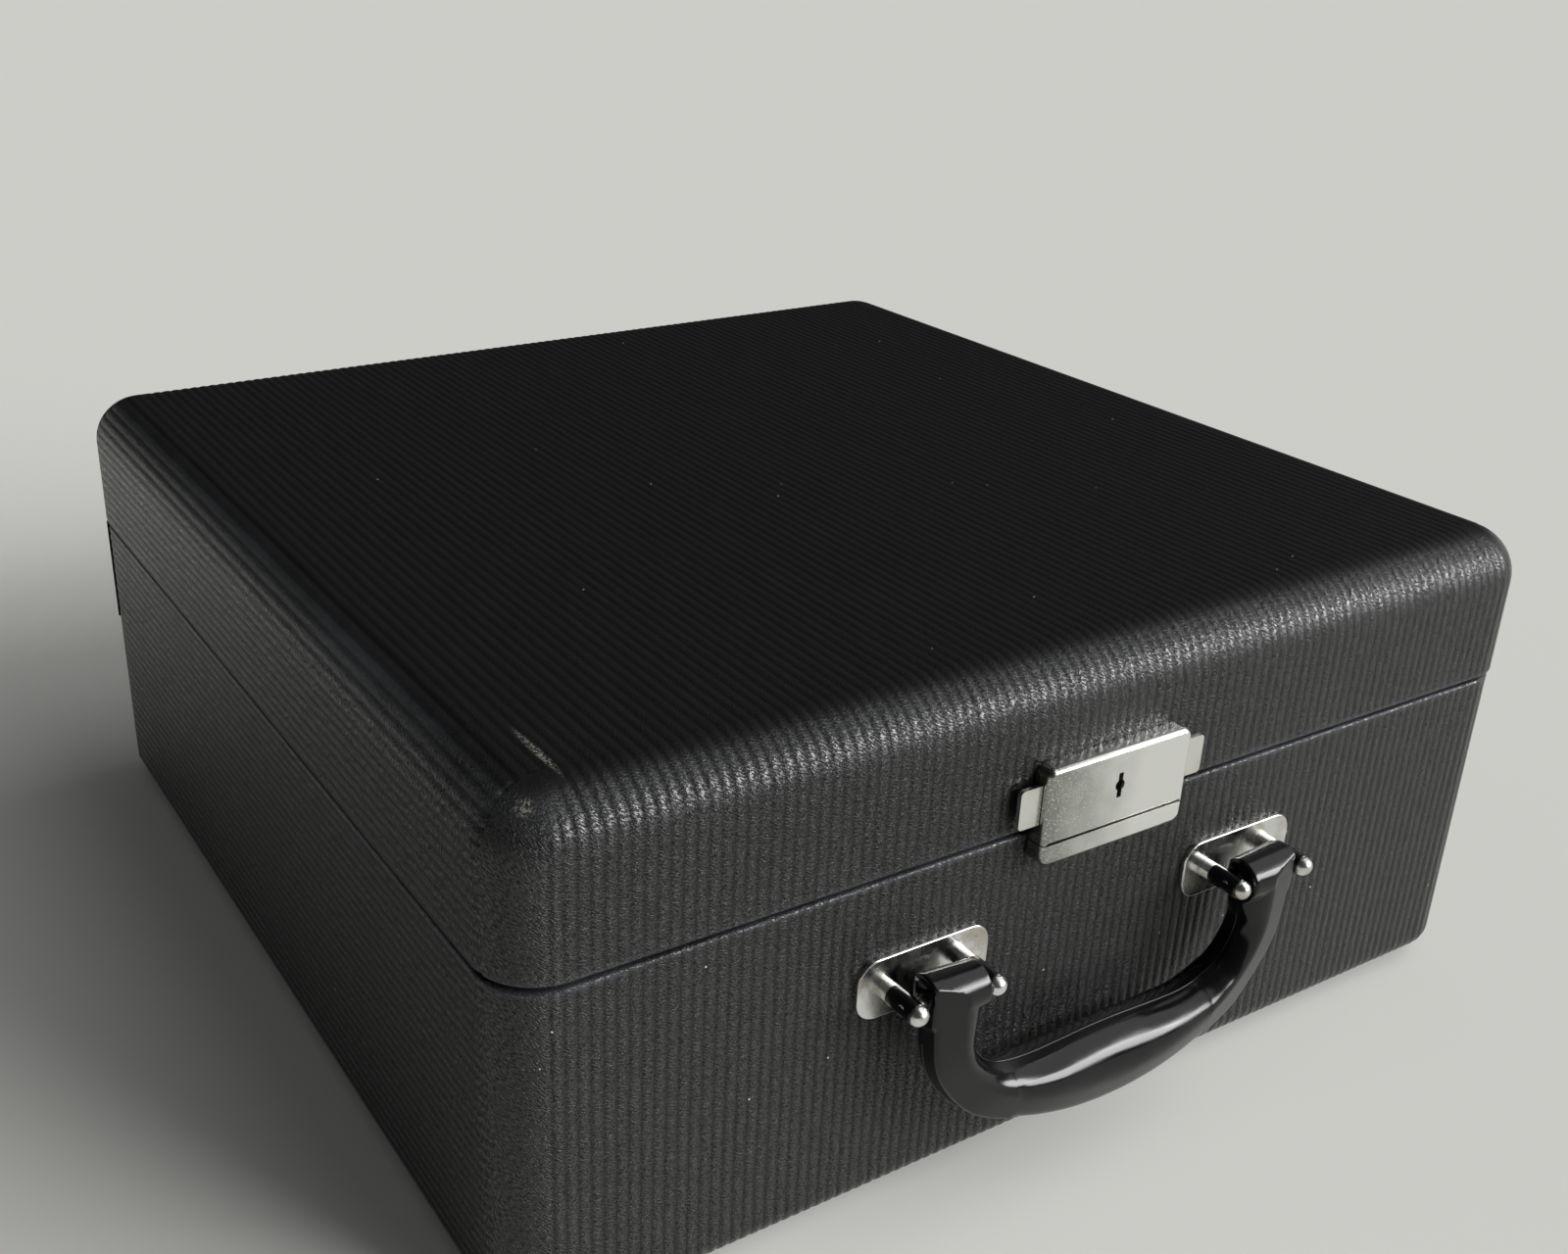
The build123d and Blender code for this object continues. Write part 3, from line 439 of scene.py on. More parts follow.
def crown_cloth(name, form):
    """The sheet over the top (or bottom) and down both sides. Its edges lie under the flaps."""
    marks = section_marks(form, form.half_x)
    straight = form.half_y - corner_radius
    wrap = lap_turn() * corner_radius
    lap_start = marks.flat + form.edge * lap_from_edge_share

    def sink_at(across, along):
        crest = rib_crest(across)
        lap = ease(abs(along), straight + wrap - lap_run, straight + wrap)
        under = lap * lap_sink if abs(across) > lap_start else 0.0
        return groove_depth(marks, abs(across), crest) + under, crest

    def wear_and_sheen_at(across, along):
        return edge_wear_and_sheen(form, marks, abs(across), side_edge_wear_and_sheen)

    rows = (
        steps(-straight - wrap, -straight, corner_rows)[:-1]
        + steps(-straight, straight, crown_rows)
        + steps(straight, straight + wrap, corner_rows)[1:]
    )
    return make_cloth(
        f"{name}_crown_cloth", form, rib_steps(-marks.end, marks.end), rows,
        partial(crown_place, form), sink_at, wear_and_sheen_at, form.upward < 0,
    )


def end_cloth(name, form, end, word):
    """The front or the back flap, which laps round the upright corners."""
    marks = section_marks(form, form.half_y)
    straight = form.half_x - corner_radius
    reach = straight + (math.pi / 2 - lap_turn()) * corner_radius

    def sink_at(across, along):
        on_top = 1 - ease(along, marks.flat, marks.rounded)
        fade_start = straight + corner_ribs - corner_fade - corner_pull * on_top
        smooth = ease(abs(across), fade_start, fade_start + corner_fade)
        crest = rib_crest(across) * (1 - smooth) + smooth_crest * smooth
        return groove_depth(marks, along, crest), crest

    def wear_and_sheen_at(across, along):
        return edge_wear_and_sheen(form, marks, along, end_edge_wear_and_sheen)

    rows = (
        [form.half_y - corner_radius + fold_gap]
        + steps(marks.flat, marks.rounded, edge_rows)
        + steps(marks.rounded, marks.wall - wall_rows_stop, wall_rows)[1:]
        + steps(marks.wall - rim_fade_before, marks.wall, rim_fade_rows)
        + steps(marks.wall, marks.rolled, roll_rows)[1:]
        + [marks.end]
    )
    return make_cloth(
        f"{name}_{word}_cloth", form, rib_steps(-reach, reach), rows,
        partial(end_place, form, end), sink_at, wear_and_sheen_at, form.upward * end < 0,
    )


def cover_shell(name, form, body, node):
    """Three sheets cover a shell: crown with sides, front flap and back flap."""
    crown = crown_cloth(name, form)
    sheets = [crown, end_cloth(name, form, -1, "front"), end_cloth(name, form, 1, "back")]
    for piece in sheets:
        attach(piece, body)
    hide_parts(node)
    return sheets


# Handle

def merged_copy(node):
    """A bmesh of a CAD node's mesh with its loose triangles joined."""
    bm = bmesh.new()
    bm.from_mesh(frame["nodes"][node].data)
    bmesh.ops.remove_doubles(bm, verts=bm.verts, dist=weld)
    return bm


def evaluated_mesh(piece):
    """The mesh of a piece with its modifiers applied. The piece itself is removed."""
    shaped = piece.evaluated_get(bpy.context.evaluated_depsgraph_get())
    mesh = bpy.data.meshes.new_from_object(shaped)
    bpy.data.objects.remove(piece)
    return mesh


def smooth_verts(bm, verts, times):
    for _ in range(times):
        bmesh.ops.smooth_vert(
            bm, verts=verts, factor=smoothing_share, use_axis_x=True, use_axis_y=True, use_axis_z=True,
        )


def moulded_handle():
    """The handle with the small fillets that a mould leaves at every corner, and a rounder grip."""
    sharp = finished("handle_sharp", merged_copy("handle"))
    remesh = sharp.modifiers.new("even_skin", "REMESH")
    remesh.mode = "VOXEL"
    remesh.voxel_size = handle_voxel
    bm = bmesh.new()
    bm.from_mesh(evaluated_mesh(sharp))
    grip_top = post_places()[0].z - grip_below
    grip = [vert for vert in bm.verts if abs(vert.co.x) < grip_half and vert.co.z < grip_top]
    smooth_verts(bm, bm.verts[:], handle_smoothing)
    smooth_verts(bm, grip, grip_smoothing)
    piece = finished("handle_moulded", bm, never_crisp_angle)
    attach(piece, "handle")
    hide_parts("handle")
    return piece


def post_places():
    """The middle of each post of the handle, on the front of its plate."""
    low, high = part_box("handle_plates")
    level = (low.z + high.z) / 2
    return [
        Vector((side * plate_spacing / 2 + step * post_spacing / 2, low.y, level))
        for side in (-1, 1)
        for step in (-1, 1)
    ]


def post_sleeves():
    """A black tube round each post, from a short bare collar to the domed head."""
    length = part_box("handle_plates")[0].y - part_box("handle_posts")[0].y
    near = -collar_length
    far = -(length - sleeve_end_gap)
    outline = [
        (sleeve_bore, near), (sleeve_radius - sleeve_round, near), (sleeve_radius, near - sleeve_round),
        (sleeve_radius, far + sleeve_round), (sleeve_radius - sleeve_round, far), (sleeve_bore, far),
    ]
    bm = bmesh.new()
    for centre in post_places():
        verts = [bm.verts.new(centre + Vector((0, along, radius))) for radius, along in outline]
        edges = [bm.edges.new(two) for two in zip(verts, verts[1:] + verts[:1])]
        bmesh.ops.spin(
            bm, geom=verts + edges, cent=centre, axis=(0, 1, 0), dvec=(0, 0, 0),
            angle=2 * math.pi, steps=sleeve_steps, use_merge=True,
        )
    bmesh.ops.remove_doubles(bm, verts=bm.verts, dist=weld)
    bmesh.ops.recalc_face_normals(bm, faces=bm.faces)
    piece = finished("handle_post_sleeves", bm)
    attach(piece, "base")
    return piece


def mould_line_edges():
    """Edges of the handle's own mesh on the plane between the two halves of its mould."""
    low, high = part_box("handle")
    middle = (low.y + high.y) / 2
    line_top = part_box("handle_posts")[0].z - mould_line_below
    bm = merged_copy("handle")
    cut = bmesh.ops.bisect_plane(
        bm, geom=bm.verts[:] + bm.edges[:] + bm.faces[:], dist=weld,
        plane_co=(0, middle, 0), plane_no=(0, 1, 0),
    )
    edges = [
        piece for piece in cut["geom_cut"]
        if isinstance(piece, bmesh.types.BMEdge)
        and max(piece.verts[0].co.z, piece.verts[1].co.z) < line_top
    ]
    return bm, edges


def unbroken_lines(edges):
    """Places along each unbroken line of edges, from one end to the other."""
    beside = {}
    for edge in edges:
        for vert in edge.verts:
            beside.setdefault(vert, []).append(edge)
    lines = []
    used = set()
    for start in [vert for vert, meeting in beside.items() if len(meeting) == 1]:
        vert = start
        line = [vert.co.copy()]
        ahead = [edge for edge in beside[vert] if edge not in used]
        while ahead:
            used.add(ahead[0])
            vert = ahead[0].other_vert(vert)
            line.append(vert.co.copy())
            ahead = [edge for edge in beside[vert] if edge not in used]
        if len(line) > 1:
            lines.append(line)
    return lines


def mould_line():
    """Fine ridge along the inner and the outer side of the handle's bow."""
    bm, edges = mould_line_edges()
    curve = bpy.data.curves.new("handle_mould_line", "CURVE")
    curve.dimensions = "3D"
    curve.bevel_depth = mould_bead
    curve.bevel_resolution = mould_bead_steps
    curve.use_fill_caps = True
    for line in unbroken_lines(edges):
        spline = curve.splines.new("POLY")
        spline.points.add(len(line) - 1)
        for point, place in zip(spline.points, line):
            point.co = (*place, 1.0)
    bm.free()
    drawn = bpy.data.objects.new("handle_mould_line", curve)
    piece = bpy.data.objects.new("handle_mould_line", bpy.data.meshes.new_from_object(drawn))
    bpy.data.objects.remove(drawn)
    bpy.context.scene.collection.objects.link(piece)
    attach(piece, "handle")
    return piece


# Lock

def raised_copy(node, parting_z):
    """A CAD node's mesh with its points near the parting raised and its flat faces joined."""
    bm = merged_copy(node)
    for vert in bm.verts:
        if abs(vert.co.z - parting_z) < parting_zone:
            vert.co.z += parting_raise
    bmesh.ops.dissolve_limit(
        bm, angle_limit=math.radians(flat_angle), verts=bm.verts, edges=bm.edges,
    )
    return bm


def round_lower_edge(bm, front_y, lower_z):
    """A small bead along the front of the cover's lower edge."""
    edges = [
        edge for edge in bm.edges
        if all(
            vert.co.z < lower_z + lower_bead_reach and vert.co.y < front_y + lower_bead_reach
            for vert in edge.verts
        )
    ]
    bmesh.ops.bevel(
        bm, geom=edges, offset=lower_bead, segments=lower_bead_steps, profile=0.5,
        affect="EDGES", material=-1,
    )


def plated_piece(bm, node, body):
    """A pressed and plated piece of the lock, whose flat faces are shaded flat."""
    piece = finished(f"{node}_plated", bm, crisp_plate_angle)
    weigh = piece.modifiers.new("flat_faces", "WEIGHTED_NORMAL")
    weigh.keep_sharp = True
    weigh.weight = flat_face_weight
    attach(piece, body)
    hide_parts(node)
    return piece


def lock_pieces():
    """Cover and keeper, with the line between them at its raised place."""
    cover_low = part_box("lock_cover")[0]
    keeper_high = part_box("lock_keeper")[1]
    cover = raised_copy("lock_cover", cover_low.z)
    round_lower_edge(cover, cover_low.y, cover_low.z + parting_raise)
    keeper = raised_copy("lock_keeper", keeper_high.z)
    return [plated_piece(cover, "lock_cover", "lid"), plated_piece(keeper, "lock_keeper", "base")]


def slide_spring(side):
    """The spring behind a slide, copied into a piece with a mesh of its own. The real spring shortens from
    the slide's end as the slide is pressed, which this piece does not do.
    """
    node = f"{side}_slide_spring"
    piece = finished(f"{node}_wire", merged_copy(node))
    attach(piece, "lid")
    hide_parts(node)
    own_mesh(piece)
    return piece


# Building blocks of the materials

def linear(hex_colour):
    """sRGB hex colour as linear red, green, blue and alpha."""
    channels = [int(hex_colour[start:start + 2], 16) / 255 for start in (1, 3, 5)]
    linear_channels = [
        value / 12.92 if value <= 0.04045 else ((value + 0.055) / 1.055) ** 2.4
        for value in channels
    ]
    return (*linear_channels, 1.0)


def new_material(name):
    material = bpy.data.materials.new(name)
    material.use_nodes = True
    tree = material.node_tree
    return material, tree, tree.nodes["Principled BSDF"]


def fill(tree, node, inputs):
    """Sets inputs of a node, or links them where the value is an output of another node."""
    for socket, value in inputs.items():
        if isinstance(value, bpy.types.NodeSocket):
            tree.links.new(value, node.inputs[socket])
        else:
            node.inputs[socket].default_value = value


def add(tree, kind, inputs=None, **settings):
    """Adds a node, gives it its settings, and fills its inputs."""
    node = tree.nodes.new(kind)
    for name, value in settings.items():
        setattr(node, name, value)
    fill(tree, node, inputs or {})
    return node


# Coated cloth

def oval_mark(tree, place, middle, half_size):
    """1 inside an oval mark and 0 outside it."""
    laid = add(tree, "ShaderNodeMapping", {
        "Vector": place,
        "Location": [length * mm for length in middle],
        "Scale": [length * mm for length in half_size],
    }, vector_type="TEXTURE").outputs["Vector"]
    reach = add(tree, "ShaderNodeVectorMath", {0: laid}, operation="LENGTH").outputs["Value"]
    return add(tree, "ShaderNodeMapRange", {"Value": reach, **scuff_fade}).outputs["Result"]


def scuffs(tree, place):
    """The share of bared threads in the scraped spots."""
    most = 0.0
    for middle, half_size in scuff_marks:
        mark = oval_mark(tree, place, middle, half_size)
        most = add(tree, "ShaderNodeMath", {0: most, 1: mark}, operation="MAXIMUM").outputs["Value"]
    scraped = add(tree, "ShaderNodeTexNoise", {
        "Vector": place, "Scale": 1 / scraped_thread, "Detail": 3.0,
    }).outputs["Fac"]
    bared = add(tree, "ShaderNodeMapRange", {
        "Value": scraped, **bared_levels, "To Max": bared_most,
    }).outputs["Result"]
    return add(tree, "ShaderNodeMath", {0: most, 1: bared}, operation="MULTIPLY").outputs["Value"]


def slanted_threads(tree, sheet):
    """1 on the flat backs of the threads and 0 in the creases between them."""
    slanted = add(tree, "ShaderNodeMapping", {
        "Vector": sheet,
        "Rotation": (0, 0, math.radians(thread_slant)),
        "Scale": (thread_length, thread_width, 1.0),
    }, vector_type="TEXTURE").outputs["Vector"]
    backs = add(tree, "ShaderNodeTexNoise", {"Vector": slanted, "Scale": 1.0}).outputs["Fac"]
    return add(tree, "ShaderNodeMapRange", {"Value": backs, **thread_levels}).outputs["Result"]


def cloth_relief(tree, place, threads):
    """Surface direction with the creases between the threads and the fine pebbles of the coat."""
    pebbles = add(tree, "ShaderNodeTexNoise", {"Vector": place, "Scale": 1 / pebble_size}).outputs["Fac"]
    height = add(tree, "ShaderNodeMath", {
        0: pebbles, 1: pebble_share, 2: threads,
    }, operation="MULTIPLY_ADD").outputs["Value"]
    return add(tree, "ShaderNodeBump", {
        "Height": height, "Strength": 1.0, "Distance": relief_height,
    }).outputs["Normal"]


def cord_colour_and_groove_shade(tree, sheet, crest):
    """Black cords, each a little different, with painted shade that darkens them towards the grooves."""
    laid = add(tree, "ShaderNodeMapping", {
        "Vector": sheet, "Scale": (streak_width, streak_length, 1.0),
    }, vector_type="TEXTURE").outputs["Vector"]
    streaks = add(tree, "ShaderNodeTexNoise", {"Vector": laid, "Scale": 1.0}).outputs["Fac"]
    # Painted shade: the colour runs from lighter on the crests to darker in the grooves
    tone = add(tree, "ShaderNodeMath", {0: streaks, 1: crest}, operation="MULTIPLY").outputs["Value"]
    return add(tree, "ShaderNodeMix", {
        "Factor": tone, "A": linear("#080808"), "B": linear("#1b1b1a"),
    }, data_type="RGBA").outputs["Result"]


def rubbed_and_sheen_share(tree, handled, wear_and_sheen):
    """The share of rubbed cloth and painted sheen, clouded by handling and strongest along the edges."""
    clouded = add(tree, "ShaderNodeMapRange", {
        "Value": handled, **handled_levels, **rubbed_and_sheen_shares,
    }).outputs["Result"]
    return add(tree, "ShaderNodeMath", {0: clouded, 1: wear_and_sheen}, operation="MULTIPLY").outputs["Value"]


def dust_specks(tree, place):
    """1 on a few small, round specks of dust and 0 elsewhere."""
    reach = add(tree, "ShaderNodeTexVoronoi", {
        "Vector": place, "Scale": 1 / speck_spacing, "Randomness": 1.0,
    }).outputs["Distance"]
    return add(tree, "ShaderNodeMath", {
        0: reach, 1: speck_radius_share,
    }, operation="LESS_THAN").outputs["Value"]


def cloth_colour(tree, place, sheet, crest, handled, wear_and_sheen):
    """Black cords with painted shade in the grooves, rubbed edges whose pale tone is also a painted sheen,
    scuffs down to the bare threads, and specks of dust.
    """
    colour = cord_colour_and_groove_shade(tree, sheet, crest)
    marks = (
        # Pale bluish grey: the rubbed coat, and a painted sheen along the rounded edges and a painted
        # highlight line at the rim
        (rubbed_and_sheen_share(tree, handled, wear_and_sheen), "#505359"),
        (scuffs(tree, place), "#8d8b80"),
        (dust_specks(tree, place), "#b9b8b2"),
    )
    for share, tone in marks:
        colour = add(tree, "ShaderNodeMix", {
            "Factor": share, "A": colour, "B": linear(tone),
        }, data_type="RGBA").outputs["Result"]
    return colour


def coat_left(tree, threads, crest):
    """How much of the coat covers the threads. It is thin in the creases and in the grooves."""
    on_cord = add(tree, "ShaderNodeMapRange", {"Value": crest, "To Min": groove_coat}).outputs["Result"]
    return add(tree, "ShaderNodeMath", {0: threads, 1: on_cord}, operation="MULTIPLY").outputs["Value"]


def coat_weight(tree, coated, dull):
    """Strength of the coat's own gloss, most of which the flat faces have lost."""
    glossy = add(tree, "ShaderNodeMapRange", {
        "Value": coated, "To Min": coat_thin, "To Max": coat_full,
    }).outputs["Result"]
    kept = add(tree, "ShaderNodeMapRange", {
        "Value": dull, "To Min": 1.0, "To Max": dull_coat,
    }).outputs["Result"]
    return add(tree, "ShaderNodeMath", {0: glossy, 1: kept}, operation="MULTIPLY").outputs["Value"]


def cloth_roughness(tree, coated, handled, dull):
    """Smoothest on the backs of the threads, and rougher from handling and on the flat faces."""
    rough = add(tree, "ShaderNodeMapRange", {
        "Value": coated, "To Min": crease_roughness, "To Max": thread_roughness,
    }).outputs["Result"]
    for share, most in ((handled, handling_roughness), (dull, dull_roughness)):
        rough = add(tree, "ShaderNodeMath", {
            0: share, 1: most, 2: rough,
        }, operation="MULTIPLY_ADD").outputs["Value"]
    return rough


def coated_cloth_ribbed():
    """Cotton cloth with a black nitrocellulose coat, pressed into cords: glints on slanted threads."""
    material, tree, shader = new_material("coated_cloth_ribbed")
    place = add(tree, "ShaderNodeTexCoord").outputs["Object"]
    laid = add(tree, "ShaderNodeAttribute", attribute_name="cloth").outputs["Vector"]
    wear_and_sheen = add(tree, "ShaderNodeAttribute", attribute_name="wear_and_sheen").outputs["Fac"]
    dull = add(tree, "ShaderNodeAttribute", attribute_name="dull").outputs["Fac"]
    cloth = add(tree, "ShaderNodeSeparateXYZ", {"Vector": laid}).outputs
    crest = cloth["Z"]
    sheet = add(tree, "ShaderNodeCombineXYZ", {"X": cloth["X"], "Y": cloth["Y"]}).outputs["Vector"]
    handled = add(tree, "ShaderNodeTexNoise", {
        "Vector": place, "Scale": 1 / handling_size, "Detail": 6.0, "Roughness": 0.65,
    }).outputs["Fac"]
    threads = slanted_threads(tree, sheet)
    coated = coat_left(tree, threads, crest)
    relief = cloth_relief(tree, place, threads)
    fill(tree, shader, {
        "Base Color": cloth_colour(tree, place, sheet, crest, handled, wear_and_sheen),
        "Roughness": cloth_roughness(tree, coated, handled, dull),
        "Specular IOR Level": cloth_specular,
        "Coat Weight": coat_weight(tree, coated, dull),
        "Coat Roughness": coat_roughness,
        "Normal": relief,
        "Coat Normal": relief,
    })
    return material


# Metal, resin and the plain materials

def plated_metal(name, light, dull, smooth, rough, patch, speck_share, speck_colour):
    """Plated sheet steel: a bright, smooth skin, clouded in patches, with fine specks in the clouds."""
    material, tree, shader = new_material(name)
    place = add(tree, "ShaderNodeTexCoord").outputs["Object"]
    patches = add(tree, "ShaderNodeTexNoise", {
        "Vector": place, "Scale": 1 / patch, "Detail": 4.0,
    }).outputs["Fac"]
    clouded = add(tree, "ShaderNodeMapRange", {
        "Value": patches, **plate_cloud_levels,
    }).outputs["Result"]
    polish = add(tree, "ShaderNodeMapRange", {
        "Value": patches, **plate_polish_levels, "To Min": smooth, "To Max": rough,
    }).outputs["Result"]
    grain = add(tree, "ShaderNodeTexNoise", {"Vector": place, "Scale": 1 / plate_grain}).outputs["Fac"]
    specks = add(tree, "ShaderNodeMapRange", {
        "Value": grain, **plate_speck_levels, "To Max": speck_share,
    }).outputs["Result"]
    speckled = add(tree, "ShaderNodeMath", {
        0: specks, 1: clouded,
    }, operation="MULTIPLY").outputs["Value"]
    plate = add(tree, "ShaderNodeMix", {
        "Factor": clouded, "A": linear(light), "B": linear(dull),
    }, data_type="RGBA").outputs["Result"]
    colour = add(tree, "ShaderNodeMix", {
        "Factor": speckled, "A": plate, "B": linear(speck_colour),
    }, data_type="RGBA").outputs["Result"]
    # Fine rubbing marks that run along the piece
    laid = add(tree, "ShaderNodeMapping", {
        "Vector": place, "Scale": plate_marks,
    }, vector_type="TEXTURE").outputs["Vector"]
    marks = add(tree, "ShaderNodeTexNoise", {"Vector": laid, "Scale": 1.0}).outputs["Fac"]
    relief = add(tree, "ShaderNodeBump", {
        "Height": marks, "Strength": 0.1, "Distance": plate_relief,
    }).outputs["Normal"]
    fill(tree, shader, {"Base Color": colour, "Metallic": 1.0, "Roughness": polish, "Normal": relief})
    return material


def painted_dark_reflection(tree, place):
    """0 where the plate is painted bright and 1 at its left end, painted grey as a darker reflection, with a
    clouded edge between.
    """
    across = add(tree, "ShaderNodeSeparateXYZ", {"Vector": place}).outputs["X"]
    cloudy = add(tree, "ShaderNodeTexNoise", {
        "Vector": place, "Scale": 1 / reflection_cloud, "Detail": 3.0,
    }).outputs["Fac"]
    shifted = add(tree, "ShaderNodeMath", {
        0: cloudy, 1: reflection_shift, 2: across,
    }, operation="MULTIPLY_ADD").outputs["Value"]
    return add(tree, "ShaderNodeMapRange", {"Value": shifted, **reflection_run}).outputs["Result"]


def nickel_painted_reflection():
    """Nickel plate painted bright at one end and greyer towards its left end as a darker reflection, rougher
    there, with fine pale specks in the grey.
    """
    material, tree, shader = new_material("nickel_plated_steel_painted_reflection")
    place = add(tree, "ShaderNodeTexCoord").outputs["Object"]
    dull = painted_dark_reflection(tree, place)
    grain = add(tree, "ShaderNodeTexNoise", {"Vector": place, "Scale": 1 / nickel_speck_grain}).outputs["Fac"]
    specks = add(tree, "ShaderNodeMapRange", {"Value": grain, **nickel_speck_levels}).outputs["Result"]
    speckled = add(tree, "ShaderNodeMath", {0: specks, 1: dull}, operation="MULTIPLY").outputs["Value"]
    # Painted reflection: near white at one end and grey towards the left end
    plate = add(tree, "ShaderNodeMix", {
        "Factor": dull, "A": linear("#f5f5f1"), "B": linear("#93958d"),
    }, data_type="RGBA").outputs["Result"]
    colour = add(tree, "ShaderNodeMix", {
        "Factor": speckled, "A": plate, "B": linear("#eeeee8"),
    }, data_type="RGBA").outputs["Result"]
    polish = add(tree, "ShaderNodeMapRange", {"Value": dull, **nickel_polish}).outputs["Result"]
    fill(tree, shader, {"Base Color": colour, "Metallic": 1.0, "Roughness": polish})
    return material


def moulded_resin():
    """Black moulded resin, polished: deep gloss with fine rubbing marks that run along the grip."""
    material, tree, shader = new_material("moulded_resin_polished")
    place = add(tree, "ShaderNodeTexCoord").outputs["Object"]
    laid = add(tree, "ShaderNodeMapping", {
        "Vector": place, "Scale": resin_marks,
    }, vector_type="TEXTURE").outputs["Vector"]
    marks = add(tree, "ShaderNodeTexNoise", {
        "Vector": laid, "Scale": 1.0, "Detail": 4.0,
    }).outputs["Fac"]
    smears = add(tree, "ShaderNodeTexNoise", {
        "Vector": place, "Scale": 1 / resin_smear, "Detail": 3.0,
    }).outputs["Fac"]
    colour = add(tree, "ShaderNodeMix", {
        "Factor": smears, "A": linear("#070708"), "B": linear("#121213"),
    }, data_type="RGBA").outputs["Result"]
    polish = add(tree, "ShaderNodeMapRange", {
        "Value": smears, **resin_polish_levels, **resin_polish,
    }).outputs["Result"]
    relief = add(tree, "ShaderNodeBump", {
        "Height": marks, "Strength": 0.25, "Distance": resin_relief,
    }).outputs["Normal"]
    fill(tree, shader, {
        "Base Color": colour,
        "Roughness": polish,
        "Specular IOR Level": resin_specular,
        "Normal": relief,
    })
    return material


def grained(name, dark, light, grain, rough, stretch=(1.0, 1.0, 1.0), relief=0.0):
    """A dull solid whose two tones follow a grain, long in one direction if it is stretched."""
    material, tree, shader = new_material(name)
    place = add(tree, "ShaderNodeTexCoord").outputs["Object"]
    laid = add(tree, "ShaderNodeMapping", {
        "Vector": place, "Scale": [grain * share for share in stretch],
    }, vector_type="TEXTURE").outputs["Vector"]
    figure = add(tree, "ShaderNodeTexNoise", {
        "Vector": laid, "Scale": 1.0, "Detail": 6.0, "Roughness": 0.6,
    }).outputs["Fac"]
    tone = add(tree, "ShaderNodeMapRange", {"Value": figure, **grain_levels}).outputs["Result"]
    colour = add(tree, "ShaderNodeMix", {
        "Factor": tone, "A": linear(dark), "B": linear(light),
    }, data_type="RGBA").outputs["Result"]
    fill(tree, shader, {"Base Color": colour, "Roughness": rough})
    if relief:
        normal = add(tree, "ShaderNodeBump", {
            "Height": figure, "Strength": 0.6, "Distance": relief,
        }).outputs["Normal"]
        fill(tree, shader, {"Normal": normal})
    return material


def make_materials():
    return {
        "leatherette": coated_cloth_ribbed(),
        # Nickel plate: warm and silvery, with wide, faint clouds
        "nickel": plated_metal(
            "nickel_plated_steel", light="#e9e8e1", dull="#c3c2b8", smooth=0.17, rough=0.28,
            patch=26 * mm, speck_share=0.8, speck_colour="#f6f6f0",
        ),
        # Nickel painted greyer towards its left end as a darker reflection
        "thumbed_nickel": nickel_painted_reflection(),
        # Chrome plate: the brightest mirror here, with small dulled patches that hold brown specks
        "chrome": plated_metal(
            "chrome_plated_steel", light="#e6e6e4", dull="#b9b3a7", smooth=0.14, rough=0.38,
            patch=6 * mm, speck_share=0.5, speck_colour="#6f665a",
        ),
        # Zinc plate: grey and satin rather than bright
        "bright_steel": plated_metal(
            "zinc_plated_steel", light="#b9b9b6", dull="#8e8d89", smooth=0.28, rough=0.48,
            patch=4 * mm, speck_share=0.4, speck_colour="#6b6862",
        ),
        # Drawn spring wire: dark grey, with a soft shine
        "spring_steel": plated_metal(
            "spring_steel_drawn", light="#8f8d8a", dull="#5d5b58", smooth=0.30, rough=0.45,
            patch=3 * mm, speck_share=0.4, speck_colour="#44423f",
        ),
        "moulded_black": moulded_resin(),
        # Bare plywood: pale tan, with long streaks in the plane of the sheet
        "plywood": grained(
            "birch_plywood_bare", dark="#a8875c", light="#cdb083", grain=1.6 * mm, rough=0.7,
            stretch=(14, 14, 1),
        ),
        # Stained beech: nearly black, with brown streaks and a low sheen
        "stained_wood": grained(
            "beech_stained_dark", dark="#15100c", light="#33261b", grain=1.2 * mm, rough=0.5,
            stretch=(12, 12, 1),
        ),
        # Flocked cotton: a matt, dark grey-green nap
        "lining_cloth": grained(
            "cotton_flock_lining", dark="#2b2924", light="#3f3c34", grain=0.5 * mm, rough=0.95,
            relief=0.1 * mm,
        ),
        # Blackened steel: nearly black, with a dull shine
        "dark_glide": grained(
            "blackened_steel", dark="#141312", light="#2a2826", grain=1.5 * mm, rough=0.4,
        ),
        # Moulded rubber: matt black
        "pad_rubber": grained(
            "rubber_moulded", dark="#111111", light="#1e1d1c", grain=0.8 * mm, rough=0.8,
            relief=0.03 * mm,
        ),
    }


def dress(piece, material):
    piece.data.materials.clear()
    piece.data.materials.append(material)


def dress_cad_nodes(materials):
    for part in frame["record"]["subparts"]:
        dress(frame["nodes"][part["node"]], materials[part["material_slot"]])
    dress(frame["nodes"]["key_cam"], materials["dark_glide"])


# Studio

def shell_origin():
    """The middle of the shell's bottom, from which the camera was measured."""
    low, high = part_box("base_covering")
    return Vector((0, (low.y + high.y) / 2, low.z))


def camera_turn():
    """The camera's right, up and back directions as a turn."""
    azimuth = math.radians(camera_azimuth)
    elevation = math.radians(camera_elevation)
    roll = math.radians(camera_roll)
    back = Vector((
        math.sin(azimuth) * math.cos(elevation),
        -math.cos(azimuth) * math.cos(elevation),
        math.sin(elevation),
    ))
    level = (-back).cross(Vector((0, 0, 1))).normalized()
    upright = level.cross(-back)
    right = math.cos(roll) * level - math.sin(roll) * upright
    up = math.sin(roll) * level + math.cos(roll) * upright
    return Matrix((right, up, back)).transposed().to_4x4()


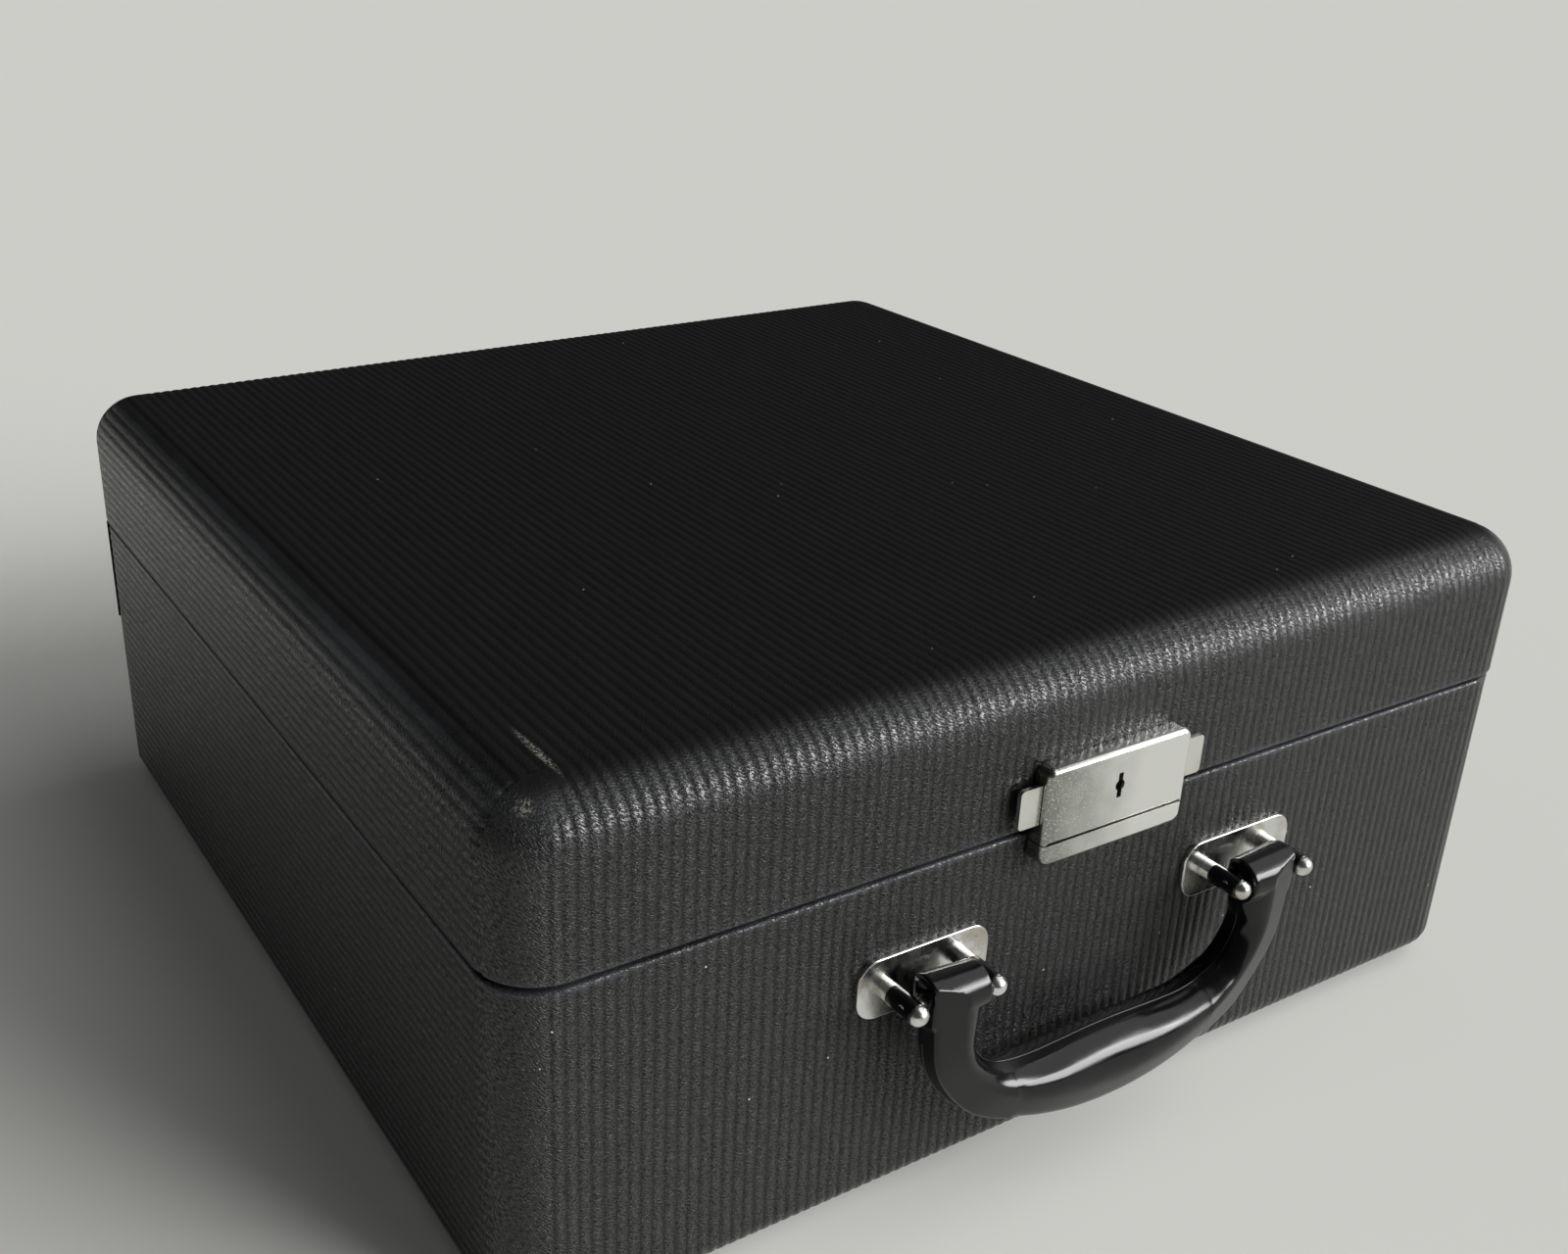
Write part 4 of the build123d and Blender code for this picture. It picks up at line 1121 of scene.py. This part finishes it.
def make_camera():
    data = bpy.data.cameras.new("photo_camera")
    data.sensor_width = sensor_width
    data.lens = camera_focal / photo_width * sensor_width
    data.shift_x = (photo_width / 2 - camera_centre[0]) / photo_width
    data.shift_y = (camera_centre[1] - photo_height / 2) / photo_width
    data.clip_start = nearest_seen
    data.clip_end = farthest_seen
    camera = bpy.data.objects.new("photo_camera", data)
    bpy.context.scene.collection.objects.link(camera)
    camera.matrix_world = Matrix.Translation(shell_origin() + Vector(camera_place) * mm) @ camera_turn()
    bpy.context.scene.camera = camera


def make_floor():
    """A plain pale floor without any gloss, so that it is equally bright from all sides."""
    bm = bmesh.new()
    bmesh.ops.create_grid(bm, x_segments=1, y_segments=1, size=floor_half)
    floor = finished("floor", bm)
    material, tree, shader = new_material("paper_backdrop")
    fill(tree, shader, {
        "Base Color": linear("#e2e2dd"), "Roughness": floor_roughness, "Specular IOR Level": 0.0,
    })
    dress(floor, material)


def make_far_light(name, direction, strength, width):
    """A round, even light so far away that it lights the whole floor alike. Its width is in degrees."""
    data = bpy.data.lights.new(name, "SUN")
    data.energy = strength
    data.angle = math.radians(width)
    lamp = bpy.data.objects.new(name, data)
    bpy.context.scene.collection.objects.link(lamp)
    lamp.rotation_euler = direction.to_track_quat("Z", "Y").to_euler()


def make_lights():
    """Broad light from above, and a wide, low window at the front right that the rounded edges mirror."""
    make_far_light("sky", Vector(sky_direction), sky_strength, sky_width)
    elevation = math.radians(window_elevation)
    for azimuth in window_azimuths:
        turn = math.radians(azimuth)
        direction = Vector((
            math.cos(turn) * math.cos(elevation),
            math.sin(turn) * math.cos(elevation),
            math.sin(elevation),
        ))
        make_far_light("window", direction, window_strength, window_width)


def make_world():
    """Even room light. Mirror-like surfaces see a dim room, and the camera a pale background."""
    world = bpy.data.worlds.new("studio")
    world.use_nodes = True
    bpy.context.scene.world = world
    tree = world.node_tree
    path = add(tree, "ShaderNodeLightPath").outputs
    seen = add(tree, "ShaderNodeMath", {
        0: path["Is Camera Ray"], 1: path["Is Transmission Ray"],
    }, operation="MAXIMUM").outputs["Value"]
    lit = add(tree, "ShaderNodeMix", {
        "Factor": path["Is Glossy Ray"], "A": room_light, "B": room_reflected,
    }, data_type="RGBA").outputs["Result"]
    colour = add(tree, "ShaderNodeMix", {
        "Factor": seen, "A": lit, "B": background,
    }, data_type="RGBA").outputs["Result"]
    fill(tree, tree.nodes["Background"], {"Color": colour})


def make_studio():
    make_floor()
    make_world()
    make_lights()
    make_camera()
    bpy.context.scene.view_settings.view_transform = "Standard"


def main():
    materials = make_materials()
    dress_cad_nodes(materials)
    lid = shell_form("lid_covering", lid_edge_radius, 1)
    tray = shell_form("base_covering", base_edge_radius, -1)
    for piece in cover_shell("lid", lid, "lid", "lid_covering"):
        dress(piece, materials["leatherette"])
    for piece in cover_shell("base", tray, "base", "base_covering"):
        dress(piece, materials["leatherette"])
    for piece in (moulded_handle(), mould_line(), post_sleeves()):
        dress(piece, materials["moulded_black"])
    # The lock's nickel is painted greyer towards its left end, a painted darker reflection
    for piece in lock_pieces():
        dress(piece, materials["thumbed_nickel"])
    for side in ("left", "right"):
        dress(slide_spring(side), materials["spring_steel"])
    make_studio()


main()
